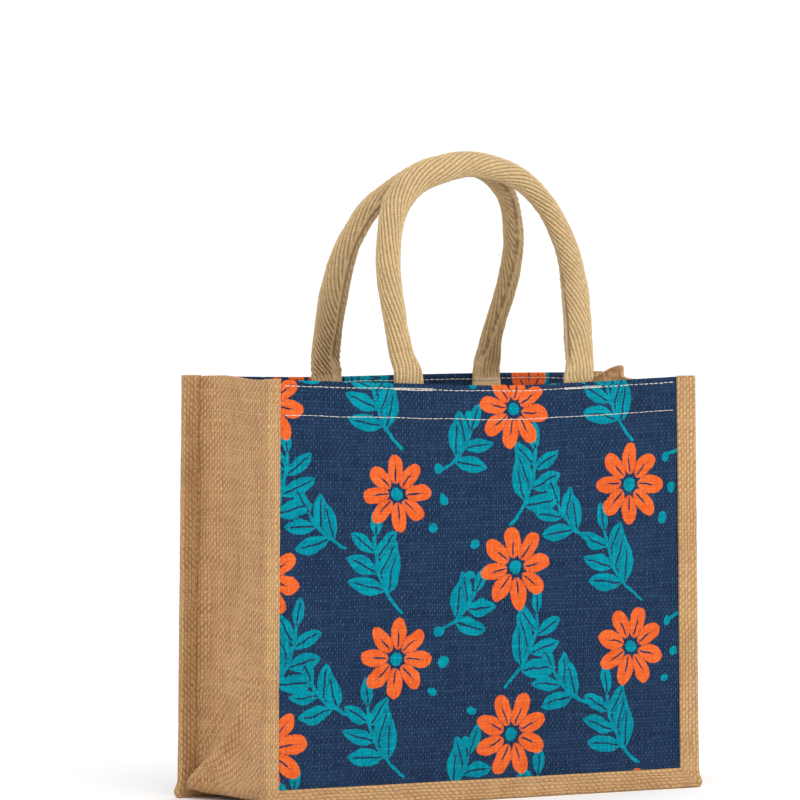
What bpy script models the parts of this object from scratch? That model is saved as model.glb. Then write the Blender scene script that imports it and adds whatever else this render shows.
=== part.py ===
"""A burlap shopping bag: two printed panels, one plain gusset strip, bound seams, rope handles.

Metres, +Z up. The bag stands on the lower edges of its two bound seams. The origin is on the
surface it stands on, under the middle of the bag, and the front panel faces -Y.
"""

import math
from collections import namedtuple

import bmesh
import bpy
from mathutils import Vector

FRONT = -1
BACK = 1
LEFT = -1
RIGHT = 1

# ---- driving sizes -------------------------------------------------------------------------
PANEL_WIDTH = 0.335  # printed cloth between the two side seams
BAG_HEIGHT = 0.300  # surface to rim
BAG_DEPTH = 0.126  # outer face of the front cloth to outer face of the back cloth
CLOTH = 0.0016  # one layer of jute
GAP = 0.0004  # air between two pieces that touch on the real bag
TAPE = 0.0012  # one layer of the binding tape
FIN = 0.014  # how far a bound seam stands out from its seam line
HEM_DEPTH = 0.027  # cloth turned to the inside along the rim
HEM = 2 * CLOTH + 0.0002  # a hem is two layers with a little air
TOP_NARROWER = 0.016  # the rim is this share narrower than the foot
TOP_SHALLOWER = 0.020  # and this share shallower, front to back
EAR = 0.0030  # the binding's folded corner sticks out this far
PANEL_HEM_CLEAR = 0.006  # a panel's hem stops this far short of the side seams
GUSSET_HEM_CLEAR = 0.012  # the gusset's hem stops this far short of the panels

# ---- sizes worked out from them ------------------------------------------------------------
HALF_WIDTH = PANEL_WIDTH / 2
HALF_DEPTH = BAG_DEPTH / 2
SEAM_HEIGHT = FIN  # the bottom seam line, because the fins are the bag's feet
EDGE_IN_TAPE = FIN - TAPE - 2 * GAP  # raw edges stop just short of the tape's fold
FLANGE_DEPTH = CLOTH + GAP + CLOTH / 2  # middle of the gusset's seam allowance
BEND = 0.0025  # radius where the gusset turns out into its seam allowance
CORNER = 0.009  # radius where the gusset turns under the bag
WING_TIP = 0.0032  # the tape's inner wing stops here, clear of that bend
WING_LAP = 0.0012  # the tape's outer wing laps this far over the seam line
TAPE_TOP = 0.0006  # the tape's ends stand above the rim by this much
ROUND = 0.0020  # rounding where the tape folds round the raw edges
RIM_ROUND = 0.0006  # rounding of a panel's rim, on each face
HEM_STEP = 0.0006  # height in which a hem's extra layer ends

# ---- how the cloth hangs -------------------------------------------------------------------
RimRow = namedtuple("RimRow", "share front back")
RIM = (  # share of the way from left to right, rise of the front and of the back rim
    RimRow(share=0.00, front=0.0000, back=0.0020),
    RimRow(share=0.28, front=-0.0027, back=0.0012),
    RimRow(share=0.54, front=-0.0046, back=0.0028),
    RimRow(share=0.75, front=-0.0030, back=0.0038),
    RimRow(share=1.00, front=0.0008, back=0.0040),
)

SideRim = namedtuple("SideRim", "share left right")
SIDE_RIM = (  # share of the way from front to back, extra rise of the gusset's two rims
    SideRim(share=0.00, left=0.0000, right=0.0000),
    SideRim(share=0.40, left=-0.0008, right=-0.0010),
    SideRim(share=0.78, left=0.0014, right=0.0045),
    SideRim(share=1.00, left=0.0000, right=0.0000),
)

BulgeRow = namedtuple("BulgeRow", "height front back")
BULGE = (  # how far the middle of each panel stands out at a height
    BulgeRow(height=0.000, front=0.0000, back=0.0000),
    BulgeRow(height=0.060, front=0.0035, back=0.0030),
    BulgeRow(height=0.150, front=0.0060, back=0.0050),
    BulgeRow(height=0.240, front=0.0045, back=0.0035),
    BulgeRow(height=0.300, front=0.0020, back=0.0015),
)

HollowRow = namedtuple("HollowRow", "height left right")
HOLLOW = (  # how far the middle of each gusset wall stands out (less than 0: is drawn in)
    HollowRow(height=0.300, left=-0.0020, right=-0.0035),
    HollowRow(height=0.250, left=-0.0045, right=-0.0060),
    HollowRow(height=0.150, left=-0.0055, right=-0.0070),
    HollowRow(height=0.070, left=-0.0030, right=-0.0030),
    HollowRow(height=0.022, left=0.0030, right=0.0030),
)
BASE_SAG = 0.0065  # the base hangs below its seam lines by this much along its middle

Fold = namedtuple("Fold", "side depth height end_depth end_height rise reach")
FOLD_LEAD_IN = 0.015  # a fold starts this far before its first point
FOLD_RAMP = 0.020  # and is at its full height this much further on
FOLD_HOLDS = 0.6  # share of its length before it starts to die out
FOLD_DIES = 0.5  # share of its length over which it dies out
FOLDS = (  # pinched ridges that run up a gusset wall from a bottom corner
    Fold(LEFT, depth=0.050, height=0.013, end_depth=-0.020, end_height=0.068, rise=0.0085, reach=0.0100),
    Fold(LEFT, depth=0.052, height=0.075, end_depth=0.050, end_height=0.190, rise=-0.0025, reach=0.0080),
    Fold(RIGHT, depth=0.049, height=0.014, end_depth=-0.010, end_height=0.060, rise=0.0070, reach=0.0100),
    Fold(RIGHT, depth=0.051, height=0.080, end_depth=0.049, end_height=0.170, rise=-0.0020, reach=0.0080),
)

# ---- handles -------------------------------------------------------------------------------
TAB_LENGTH = 0.025  # flattened rope end sewn inside the hem
TAB_THICKNESS = 0.0046

SectionRow = namedtuple("SectionRow", "run width thickness squareness")
HANDLE_SECTION = (  # distance from the lower end of a tab, and the rope's section there
    SectionRow(run=0.000, width=0.0262, thickness=TAB_THICKNESS, squareness=1.0),
    SectionRow(run=0.026, width=0.0268, thickness=TAB_THICKNESS, squareness=1.0),
    SectionRow(run=0.032, width=0.0258, thickness=0.0070, squareness=0.8),
    SectionRow(run=0.045, width=0.0225, thickness=0.0130, squareness=0.3),
    SectionRow(run=0.062, width=0.0195, thickness=0.0178, squareness=0.0),
    SectionRow(run=0.090, width=0.0190, thickness=0.0188, squareness=0.0),
)

RouteRow = namedtuple("RouteRow", "rise span lean aside")
FRONT_ROUTE = (  # rise over the rim, half the space between the legs, lean inwards, push to the right
    RouteRow(rise=0.003, span=0.0722, lean=0.0000, aside=0.0000),
    RouteRow(rise=0.011, span=0.0738, lean=0.0006, aside=0.0000),
    RouteRow(rise=0.025, span=0.0763, lean=0.0058, aside=0.0000),
    RouteRow(rise=0.061, span=0.0787, lean=0.0137, aside=0.0000),
    RouteRow(rise=0.084, span=0.0781, lean=0.0191, aside=0.0000),
    RouteRow(rise=0.106, span=0.0733, lean=0.0251, aside=0.0000),
    RouteRow(rise=0.127, span=0.0638, lean=0.0316, aside=0.0000),
    RouteRow(rise=0.144, span=0.0465, lean=0.0340, aside=0.0000),
    RouteRow(rise=0.153, span=0.0247, lean=0.0331, aside=0.0000),
    RouteRow(rise=0.157, span=0.0000, lean=0.0330, aside=0.0000),
)
BACK_ROUTE = (
    RouteRow(rise=0.003, span=0.0694, lean=0.0000, aside=0.0000),
    RouteRow(rise=0.012, span=0.0708, lean=0.0004, aside=0.0000),
    RouteRow(rise=0.032, span=0.0716, lean=0.0058, aside=0.0000),
    RouteRow(rise=0.058, span=0.0738, lean=0.0172, aside=0.0000),
    RouteRow(rise=0.082, span=0.0735, lean=0.0279, aside=0.0000),
    RouteRow(rise=0.102, span=0.0700, lean=0.0372, aside=0.0000),
    RouteRow(rise=0.124, span=0.0600, lean=0.0472, aside=0.0008),
    RouteRow(rise=0.139, span=0.0458, lean=0.0562, aside=0.0024),
    RouteRow(rise=0.152, span=0.0250, lean=0.0598, aside=0.0036),
    RouteRow(rise=0.156, span=0.0000, lean=0.0598, aside=0.0036),
)

WidthRow = namedtuple("WidthRow", "share front back")
HANDLE_WIDTH = (  # share of the handle's length from its left tab, share of the usual width
    WidthRow(share=0.00, front=1.00, back=1.00),
    WidthRow(share=0.07, front=0.80, back=0.90),
    WidthRow(share=0.13, front=0.81, back=1.06),
    WidthRow(share=0.20, front=0.86, back=1.06),
    WidthRow(share=0.28, front=0.88, back=0.86),
    WidthRow(share=0.37, front=1.05, back=0.74),
    WidthRow(share=0.50, front=0.96, back=0.70),
    WidthRow(share=0.63, front=0.80, back=0.69),
    WidthRow(share=0.72, front=0.85, back=0.73),
    WidthRow(share=0.80, front=1.01, back=0.75),
    WidthRow(share=0.87, front=1.04, back=0.72),
    WidthRow(share=0.93, front=0.88, back=0.82),
    WidthRow(share=1.00, front=1.00, back=1.00),
)
FRONT_HANDLE_OFFSET = 0.010  # each handle is sewn on this far right of the middle
BACK_HANDLE_OFFSET = 0.005
HANDLE_END_RUNS = (0.0, 0.013, 0.0255, 0.030, 0.035, 0.041, 0.048, 0.056)  # closer sections
HANDLE_STEPS = 36  # even steps between the two ends
HANDLE_SIDES = 14

# ---- steps of the grids --------------------------------------------------------------------
PANEL_COLUMNS = 16
PANEL_ROWS = 12
HEM_MIDDLE = 0.012  # one more row this far below the rim
TAPE_SIDE_ROWS = 8
TAPE_SIDE_END = 0.030  # height of the last even row above the mitred corner
MITRE_CLEAR = 0.016  # and the first one along the foot starts this far from the corner
WALL_ROWS_FOOT = 11
WALL_ROWS_TOP = 8
FOOT_ZONE = 0.085  # closer rows below this height, where the folds are
CORNER_STEPS = 4
BASE_STEPS = 12
WALL_COLUMNS = 16


# ---- small helpers -------------------------------------------------------------------------
def clamp(value, low, high):
    return max(low, min(high, value))


def mix(start, end, share):
    return start + (end - start) * share


def smooth(share):
    share = clamp(share, 0.0, 1.0)
    return share * share * (3 - 2 * share)


def spread(start, end, steps):
    return [mix(start, end, step / steps) for step in range(steps + 1)]


def hermite(start, end, slope_in, slope_out, share):
    square, cube = share * share, share * share * share
    return (
        (2 * cube - 3 * square + 1) * start
        + (cube - 2 * square + share) * slope_in
        + (3 * square - 2 * cube) * end
        + (cube - square) * slope_out
    )


def read(rows, column, value, at):
    """Reads a table with a smooth curve: column is its key, value the column wanted."""
    rows = sorted(rows, key=lambda row: getattr(row, column))
    keys = [getattr(row, column) for row in rows]
    found = [getattr(row, value) for row in rows]
    if at <= keys[0]:
        return found[0]
    if at >= keys[-1]:
        return found[-1]
    slopes = []
    for i in range(len(rows)):
        before, after = max(i - 1, 0), min(i + 1, len(rows) - 1)
        slopes.append((found[after] - found[before]) / (keys[after] - keys[before]))
    i = max(k for k in range(len(rows) - 1) if keys[k] <= at)
    length = keys[i + 1] - keys[i]
    share = (at - keys[i]) / length
    return hermite(found[i], found[i + 1], slopes[i] * length, slopes[i + 1] * length, share)


# ---- the settled shape ---------------------------------------------------------------------
def rim_rise(x, y):
    """How far the rim stands above its nominal height, over a point of the plan."""
    across = clamp(0.5 + x / PANEL_WIDTH, 0.0, 1.0)
    inward = clamp(0.5 + y / BAG_DEPTH, 0.0, 1.0)
    rise = mix(read(RIM, "share", "front", across), read(RIM, "share", "back", across), inward)
    near_side = smooth((abs(x) - 0.8 * HALF_WIDTH) / (0.2 * HALF_WIDTH))
    side = "left" if x < 0 else "right"
    return rise + near_side * read(SIDE_RIM, "share", side, inward)


def settle(point):
    """Moves a point of the square, new bag to where it is on the bag that has hung and stood."""
    x, y, z = point
    up = clamp(z / BAG_HEIGHT, 0.0, 1.0)
    middle = clamp(1 - (x / HALF_WIDTH) ** 2, 0.0, 1.0)
    inward = clamp(0.5 + y / BAG_DEPTH, 0.0, 1.0)
    height = clamp(z, 0.0, BAG_HEIGHT)
    bulge = mix(-read(BULGE, "height", "front", height), read(BULGE, "height", "back", height), inward)
    return Vector(
        (
            x * (1 - TOP_NARROWER * up),
            y * (1 - TOP_SHALLOWER * up) + bulge * middle,
            z + rim_rise(x, y) * smooth((up - 0.45) / 0.55),
        )
    )


# ---- meshes --------------------------------------------------------------------------------
def finish_object(name, mesh_data, material):
    bmesh.ops.recalc_face_normals(mesh_data, faces=mesh_data.faces)
    mesh = bpy.data.meshes.new(name)
    mesh_data.to_mesh(mesh)
    mesh_data.free()
    mesh.materials.append(material)
    mesh.shade_smooth()
    mesh.set_sharp_from_angle(angle=math.radians(50))
    piece = bpy.data.objects.new(name, mesh)
    bpy.context.collection.objects.link(piece)
    return piece


def bridge(mesh_data, first, second):
    """Joins two open rows of vertices with one strip of quads."""
    for i in range(len(first) - 1):
        mesh_data.faces.new((first[i], first[i + 1], second[i + 1], second[i]))


def bridge_along_folds(mesh_data, first, second):
    """The same in triangles, whose shared edges run up towards the front, as the folds do."""
    for i in range(len(first) - 1):
        a, b, c, d = first[i], first[i + 1], second[i + 1], second[i]
        fall_ac = (c.co.y - a.co.y) * (c.co.z - a.co.z)
        fall_bd = (d.co.y - b.co.y) * (d.co.z - b.co.z)
        if fall_ac <= fall_bd:
            mesh_data.faces.new((a, b, c))
            mesh_data.faces.new((a, c, d))
        else:
            mesh_data.faces.new((a, b, d))
            mesh_data.faces.new((b, c, d))


def thick_sheet(name, outside, inside, material, join=bridge):
    """Closes two grids of points, the two faces of a sheet of cloth, into one body."""
    mesh_data = bmesh.new()
    outer = [[mesh_data.verts.new(settle(point)) for point in row] for row in outside]
    inner = [[mesh_data.verts.new(settle(point)) for point in row] for row in inside]
    for k in range(len(outer) - 1):
        join(mesh_data, outer[k], outer[k + 1])
        join(mesh_data, inner[k], inner[k + 1])
    for row in (0, -1):
        bridge(mesh_data, outer[row], inner[row])
    for end in (0, -1):
        bridge(mesh_data, [row[end] for row in outer], [row[end] for row in inner])
    return finish_object(name, mesh_data, material)


def closed_tube(name, rings, material):
    mesh_data = bmesh.new()
    loops = [[mesh_data.verts.new(settle(point)) for point in ring] for ring in rings]
    for k in range(len(loops) - 1):
        bridge(mesh_data, loops[k] + loops[k][:1], loops[k + 1] + loops[k + 1][:1])
    for loop in (loops[0], loops[-1]):
        mesh_data.faces.new(loop)
    return finish_object(name, mesh_data, material)


def make_material(name, colour, roughness):
    material = bpy.data.materials.new(name)
    material.use_nodes = True
    shader = material.node_tree.nodes["Principled BSDF"]
    shader.inputs["Base Color"].default_value = (*colour, 1.0)
    shader.inputs["Roughness"].default_value = roughness
    shader.inputs["Metallic"].default_value = 0.0
    material.diffuse_color = (*colour, 1.0)
    return material


# ---- panels --------------------------------------------------------------------------------
def panel(name, side, material):
    """A rectangle of printed cloth. Its edges run into the bound seams, its top is a hem."""
    edge = HALF_WIDTH + EDGE_IN_TAPE
    hem_end = HALF_WIDTH - PANEL_HEM_CLEAR
    step = 0.001
    columns = (
        [-edge, -HALF_WIDTH, -hem_end - step]
        + spread(-hem_end, hem_end, PANEL_COLUMNS)
        + [hem_end + step, HALF_WIDTH, edge]
    )
    hem_foot = BAG_HEIGHT - HEM_DEPTH
    rows = (
        [SEAM_HEIGHT - EDGE_IN_TAPE]
        + spread(SEAM_HEIGHT, hem_foot - HEM_STEP, PANEL_ROWS)
        + [hem_foot, BAG_HEIGHT - HEM_MIDDLE, BAG_HEIGHT - 2 * RIM_ROUND, BAG_HEIGHT]
    )
    outside, inside = [], []
    for x in columns:
        outer, inner = [], []
        for z in rows:
            in_hem = z >= hem_foot and abs(x) <= hem_end
            thickness = HEM if in_hem else CLOTH
            round_over = RIM_ROUND if z == BAG_HEIGHT else 0.0
            outer.append((x, side * (HALF_DEPTH - round_over), z))
            inner.append((x, side * (HALF_DEPTH - thickness + round_over), z))
        outside.append(outer)
        inside.append(inner)
    return thick_sheet(name, outside, inside, material)


# ---- gusset --------------------------------------------------------------------------------
GussetRow = namedtuple("GussetRow", "x z out_x out_z side in_hem")


def wall_heights():
    hem_foot = BAG_HEIGHT - HEM_DEPTH
    hem = [BAG_HEIGHT, BAG_HEIGHT - HEM_MIDDLE, hem_foot]
    upper = spread(hem_foot - HEM_STEP, FOOT_ZONE, WALL_ROWS_TOP)
    lower = spread(FOOT_ZONE, SEAM_HEIGHT + CORNER, WALL_ROWS_FOOT)
    return hem + upper + lower[1:]


def gusset_rows():
    """The strip's route: down the left side, round under the bag, and up the right side."""
    hem_foot = BAG_HEIGHT - HEM_DEPTH
    left = [
        GussetRow(x=-HALF_WIDTH, z=z, out_x=-1.0, out_z=0.0, side=LEFT, in_hem=z >= hem_foot)
        for z in wall_heights()
    ]
    for step in range(1, CORNER_STEPS + 1):
        turn = 0.5 * math.pi * step / CORNER_STEPS
        left.append(
            GussetRow(
                x=-HALF_WIDTH + CORNER - CORNER * math.cos(turn),
                z=SEAM_HEIGHT + CORNER - CORNER * math.sin(turn),
                out_x=-math.cos(turn),
                out_z=-math.sin(turn),
                side=LEFT,
                in_hem=False,
            )
        )
    base_end = HALF_WIDTH - CORNER
    base = [
        GussetRow(x=x, z=SEAM_HEIGHT, out_x=0.0, out_z=-1.0, side=0, in_hem=False)
        for x in spread(-base_end, base_end, BASE_STEPS)[1:-1]
    ]
    right = [row._replace(x=-row.x, out_x=-row.out_x, side=RIGHT) for row in reversed(left)]
    return left + base + right


def fold_height(side, y, z):
    """Height of the pinched ridges at a place on a gusset wall."""
    height = 0.0
    for fold in FOLDS:
        if fold.side != side:
            continue
        run_y, run_z = fold.end_depth - fold.depth, fold.end_height - fold.height
        length = math.hypot(run_y, run_z)
        along = ((y - fold.depth) * run_y + (z - fold.height) * run_z) / length
        off = ((y - fold.depth) * run_z - (z - fold.height) * run_y) / length
        fade_in = smooth((along + FOLD_LEAD_IN) / FOLD_RAMP)
        fade_out = 1 - smooth((along - FOLD_HOLDS * length) / (FOLD_DIES * length))
        height += fold.rise * fade_in * fade_out * math.exp(-((off / fold.reach) ** 2))
    return height


def stand_out(row, y):
    """How far the gusset stands out from its seam lines, at a depth y."""
    middle = 1 - (y / (HALF_DEPTH - FLANGE_DEPTH - BEND)) ** 2
    if row.side == 0:
        return BASE_SAG * clamp(2 * middle, 0.0, 1.0)
    edge = clamp(3 * middle, 0.0, 1.0)
    column = "left" if row.side == LEFT else "right"
    hollow = read(HOLLOW, "height", column, row.z) * clamp(1.4 * middle, 0.0, 1.0)
    turned = smooth(-row.out_z)
    sag = BASE_SAG * clamp(2 * middle, 0.0, 1.0)
    return mix(hollow + fold_height(row.side, y, row.z) * edge, sag, turned)


def gusset(name, material):
    """One strip with its two long edges turned out into the bound seams."""
    flange_y = HALF_DEPTH - FLANGE_DEPTH
    wall_y = flange_y - BEND
    bend_out = BEND * (1 - math.sin(math.radians(45)))
    half = CLOTH / 2
    slant = half * math.sin(math.radians(45))
    # out, y of the strip's middle; out, y of the step to its outer face
    front_edge = [
        (EDGE_IN_TAPE, -flange_y, 0.0, half),
        (BEND, -flange_y, 0.0, half),
        (bend_out, -flange_y + bend_out, slant, slant),
    ]
    wall = [(0.0, y, half, 0.0) for y in spread(-wall_y, wall_y, WALL_COLUMNS)]
    back_edge = [(out, -y, to_out, -to_y) for out, y, to_out, to_y in reversed(front_edge)]
    hem_reach = HALF_DEPTH - GUSSET_HEM_CLEAR
    outside, inside = [], []
    for row in gusset_rows():
        outer, inner = [], []
        for out, y, to_out, to_y in front_edge + wall + back_edge:
            extra = stand_out(row, y) if abs(y) < wall_y else 0.0
            inner_step = HEM - half if row.in_hem and abs(y) <= hem_reach else half
            away = out + extra + to_out
            back_in = out + extra - to_out * inner_step / half
            outer.append((row.x + row.out_x * away, y + to_y, row.z + row.out_z * away))
            inner.append((row.x + row.out_x * back_in, y - to_y, row.z + row.out_z * back_in))
        outside.append(outer)
        inside.append(inner)
    return thick_sheet(name, outside, inside, material, join=bridge_along_folds)


# ---- bindings ------------------------------------------------------------------------------
SeamRow = namedtuple("SeamRow", "x z out_x out_z ear")


def seam_rows():
    """The seam line of one panel: down the left, along the foot and up the right."""
    top = [BAG_HEIGHT + TAPE_TOP, BAG_HEIGHT - HEM_MIDDLE]
    heights = top + spread(BAG_HEIGHT - HEM_DEPTH, TAPE_SIDE_END, TAPE_SIDE_ROWS)
    left = [SeamRow(x=-HALF_WIDTH, z=z, out_x=-1.0, out_z=0.0, ear=0.0) for z in heights]
    corner = SeamRow(x=-HALF_WIDTH, z=SEAM_HEIGHT, out_x=-1.0, out_z=-1.0, ear=1.0)
    foot = [
        SeamRow(x=x, z=SEAM_HEIGHT, out_x=0.0, out_z=-1.0, ear=0.0)
        for x in spread(-HALF_WIDTH + MITRE_CLEAR, HALF_WIDTH - MITRE_CLEAR, BASE_STEPS)
    ]
    right = [row._replace(x=-row.x, out_x=-row.out_x) for row in reversed(left + [corner])]
    return left + [corner] + foot + right


def binding(name, side, material):
    """Tape folded round the seam: one wing on the panel, one on the gusset's allowance."""
    face = -GAP - TAPE  # outer face of the wing on the panel
    back = 2 * CLOTH + 2 * GAP + TAPE  # outer face of the other wing
    back_inner = back - TAPE
    fold_inner = FIN - TAPE
    middle = (face + back) / 2
    # out from the seam line and depth into the bag, for the tape's two faces
    round_in = ROUND - TAPE  # the same fold's rounding on the tape's inner face
    tip = TAPE / 4  # the wings' edges are pressed thinner by this much
    outer_line = [
        (-WING_LAP, face + tip),
        (FIN / 2, face),
        (FIN - ROUND, face),
        (FIN - ROUND / 10, face + 0.6 * ROUND),
        (FIN, face + ROUND),
        (FIN, middle),
        (FIN, back - ROUND),
        (FIN - ROUND / 10, back - 0.6 * ROUND),
        (FIN - ROUND, back),
        (FIN / 2, back),
        (WING_TIP, back - tip),
    ]
    inner_line = [
        (-WING_LAP, -GAP),
        (FIN / 2, -GAP),
        (fold_inner - round_in, -GAP),
        (fold_inner - round_in / 5, round_in / 2 - GAP),
        (fold_inner, round_in),
        (fold_inner, middle),
        (fold_inner, back_inner - round_in),
        (fold_inner - round_in / 5, back_inner - round_in / 2),
        (fold_inner - round_in, back_inner),
        (FIN / 2, back_inner),
        (WING_TIP, back_inner),
    ]
    outside, inside = [], []
    for row in seam_rows():
        faces = []
        for line in (outer_line, inner_line):
            points = []
            for out, depth in line:
                ear = row.ear * EAR * clamp(out / FIN, 0.0, 1.0) ** 3
                x = row.x + row.out_x * (out + ear)
                points.append((x, side * (HALF_DEPTH - depth), row.z + row.out_z * out))
            faces.append(points)
        outside.append(faces[0])
        inside.append(faces[1])
    return thick_sheet(name, outside, inside, material)


# ---- handles -------------------------------------------------------------------------------
def curve_point(points, at):
    """A point on the smooth curve through the points, at a whole or broken number of steps."""
    i = clamp(int(at), 0, len(points) - 2)
    share = at - i
    before, start, end = points[max(i - 1, 0)], points[i], points[i + 1]
    after = points[min(i + 2, len(points) - 1)]
    return hermite(start, end, (end - before) / 2, (after - start) / 2, share)


def sections_along(points):
    """Distances from the curve's start, closer near both ends, and the points found there."""
    fine = [curve_point(points, at) for at in spread(0, len(points) - 1, 40 * (len(points) - 1))]
    runs = [0.0]
    for a, b in zip(fine, fine[1:]):
        runs.append(runs[-1] + (b - a).length)
    length = runs[-1]
    last = HANDLE_END_RUNS[-1]
    start = list(HANDLE_END_RUNS[:-1])
    middle = spread(last, length - last, HANDLE_STEPS)
    wanted_runs = start + middle + [length - run for run in reversed(start)]
    found, i = [], 0
    for wanted in wanted_runs:
        while i < len(runs) - 2 and runs[i + 1] < wanted:
            i += 1
        share = (wanted - runs[i]) / max(runs[i + 1] - runs[i], 1e-9)
        found.append(fine[i].lerp(fine[i + 1], clamp(share, 0.0, 1.0)))
    return wanted_runs, found


def handle_route(route, side, offset):
    """The middle line of a handle, from one sewn tab over the top to the other."""
    tab_y = HALF_DEPTH - HEM - GAP - TAB_THICKNESS / 2
    tab_foot = BAG_HEIGHT - TAB_LENGTH
    legs = {}
    for leg in (LEFT, RIGHT):
        sewn = [
            Vector((offset + leg * route[0].span, side * tab_y, z))
            for z in (tab_foot, BAG_HEIGHT - TAB_LENGTH / 2)
        ]
        free = []
        for row in route:
            x = offset + row.aside + leg * row.span
            free.append(Vector((x, side * (tab_y - row.lean), BAG_HEIGHT + row.rise)))
        legs[leg] = sewn + free
    return legs[LEFT] + list(reversed(legs[RIGHT][:-1]))


def section_point(width, thickness, squareness, angle):
    """A point on a section that is an ellipse at squareness 0 and a flat strip at 1."""
    power = mix(1.0, 0.35, squareness)
    across, through = math.cos(angle), math.sin(angle)
    return (
        math.copysign(abs(across) ** power, across) * width / 2,
        math.copysign(abs(through) ** power, through) * thickness / 2,
    )


def handle(name, route, side, offset, material):
    """Webbing sewn round a rope core, its two ends pressed flat where they are sewn on."""
    runs, middle_line = sections_along(handle_route(route, side, offset))
    length = runs[-1]
    width_column = "front" if side == FRONT else "back"
    depth_axis = Vector((0.0, 1.0, 0.0))
    rings = []
    for k, (run, centre) in enumerate(zip(runs, middle_line)):
        before = middle_line[max(k - 1, 0)]
        after = middle_line[min(k + 1, len(middle_line) - 1)]
        tangent = (after - before).normalized()
        across = depth_axis.cross(tangent).normalized()
        through = tangent.cross(across)
        from_end = min(run, length - run)
        squareness = read(HANDLE_SECTION, "run", "squareness", from_end)
        share = read(HANDLE_WIDTH, "share", width_column, run / length)
        width = read(HANDLE_SECTION, "run", "width", from_end) * share
        drawn_in = mix(mix(1.0, share, 0.5), 1.0, squareness)
        thickness = read(HANDLE_SECTION, "run", "thickness", from_end) * drawn_in
        ring = []
        for corner in range(HANDLE_SIDES):
            angle = 2 * math.pi * (corner + 0.5) / HANDLE_SIDES
            a, b = section_point(width, thickness, squareness, angle)
            ring.append(centre + across * a + through * b)
        rings.append(ring)
    return closed_tube(name, rings, material)


# ---- the bag -------------------------------------------------------------------------------
def main():
    for existing in list(bpy.data.objects):
        bpy.data.objects.remove(existing, do_unlink=True)
    printed = make_material("printed_jute", (0.020, 0.043, 0.130), 0.85)
    plain = make_material("plain_jute", (0.52, 0.33, 0.17), 0.9)
    tape = make_material("jute_tape", (0.60, 0.40, 0.22), 0.9)
    webbing = make_material("handle_webbing", (0.50, 0.38, 0.20), 0.8)
    panel("front_panel", FRONT, printed)
    panel("back_panel", BACK, printed)
    gusset("gusset", plain)
    binding("front_binding", FRONT, tape)
    binding("back_binding", BACK, tape)
    handle("handle_front", FRONT_ROUTE, FRONT, FRONT_HANDLE_OFFSET, webbing)
    handle("handle_back", BACK_ROUTE, BACK, BACK_HANDLE_OFFSET, webbing)


main()
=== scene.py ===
# %% [markdown]
# # Dressing a burlap shopping bag
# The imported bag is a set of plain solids: two panels, a gusset strip, two bound seams and two
# rope handles. They have the right size and the right hang, but no cloth. This lesson makes
# each piece again from the same few sizes, with a finer mesh, and gives it yarn, print, thread
# and light. Nothing is traced or painted by hand: all of it follows from the tables below.

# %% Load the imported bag
import math
from collections import namedtuple

import bpy
import numpy as np
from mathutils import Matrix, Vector


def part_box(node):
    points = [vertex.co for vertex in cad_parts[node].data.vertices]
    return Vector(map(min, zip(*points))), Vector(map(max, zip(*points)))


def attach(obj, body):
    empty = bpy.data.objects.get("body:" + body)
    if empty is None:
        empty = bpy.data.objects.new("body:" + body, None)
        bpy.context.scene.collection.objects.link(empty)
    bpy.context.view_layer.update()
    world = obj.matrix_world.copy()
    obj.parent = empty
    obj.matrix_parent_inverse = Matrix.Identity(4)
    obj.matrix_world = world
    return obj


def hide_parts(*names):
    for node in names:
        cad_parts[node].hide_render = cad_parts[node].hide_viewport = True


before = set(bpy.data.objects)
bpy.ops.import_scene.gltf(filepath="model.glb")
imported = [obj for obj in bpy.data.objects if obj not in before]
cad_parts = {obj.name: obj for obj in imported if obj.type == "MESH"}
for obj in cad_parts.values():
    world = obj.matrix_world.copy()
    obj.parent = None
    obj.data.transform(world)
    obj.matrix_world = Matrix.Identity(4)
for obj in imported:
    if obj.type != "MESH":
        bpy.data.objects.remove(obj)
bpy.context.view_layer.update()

# %% [markdown]
# ## Sizes first
# A maker cuts cloth to a handful of sizes, and every other size follows from them. The same is
# done here, in metres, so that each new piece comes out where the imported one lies.

# %% Driving sizes
FRONT, BACK = -1, 1
LEFT, RIGHT = -1, 1
PANEL_WIDTH = 0.335  # printed cloth between the two side seams
BAG_HEIGHT = 0.300
BAG_DEPTH = 0.126
CLOTH = 0.0016  # one layer of jute
GAP = 0.0004  # air between two layers that touch on the real bag
TAPE = 0.0012  # one layer of the binding tape
FIN = 0.014  # how far a bound seam stands out from its seam line
HEM_DEPTH = 0.027
HEM = 2 * CLOTH + 0.0002  # two layers, sewn flat
TOP_NARROWER = 0.016  # by what share the rim is narrower than the foot
TOP_SHALLOWER = 0.020
EAR = 0.0030  # how far the tape's folded corner sticks out
HALF_WIDTH = PANEL_WIDTH / 2
HALF_DEPTH = BAG_DEPTH / 2
EDGE_IN_TAPE = FIN - TAPE - 2 * GAP  # raw edges stop just short of the tape's fold
SEAM_HEIGHT = FIN  # the bound seams are the bag's feet
HEM_FOOT = BAG_HEIGHT - HEM_DEPTH


# %% Small helpers for whole arrays at once
def mix(start, end, share):
    return start + (end - start) * share


def smooth(share):
    share = np.clip(share, 0.0, 1.0)
    return share * share * (3 - 2 * share)


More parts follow.
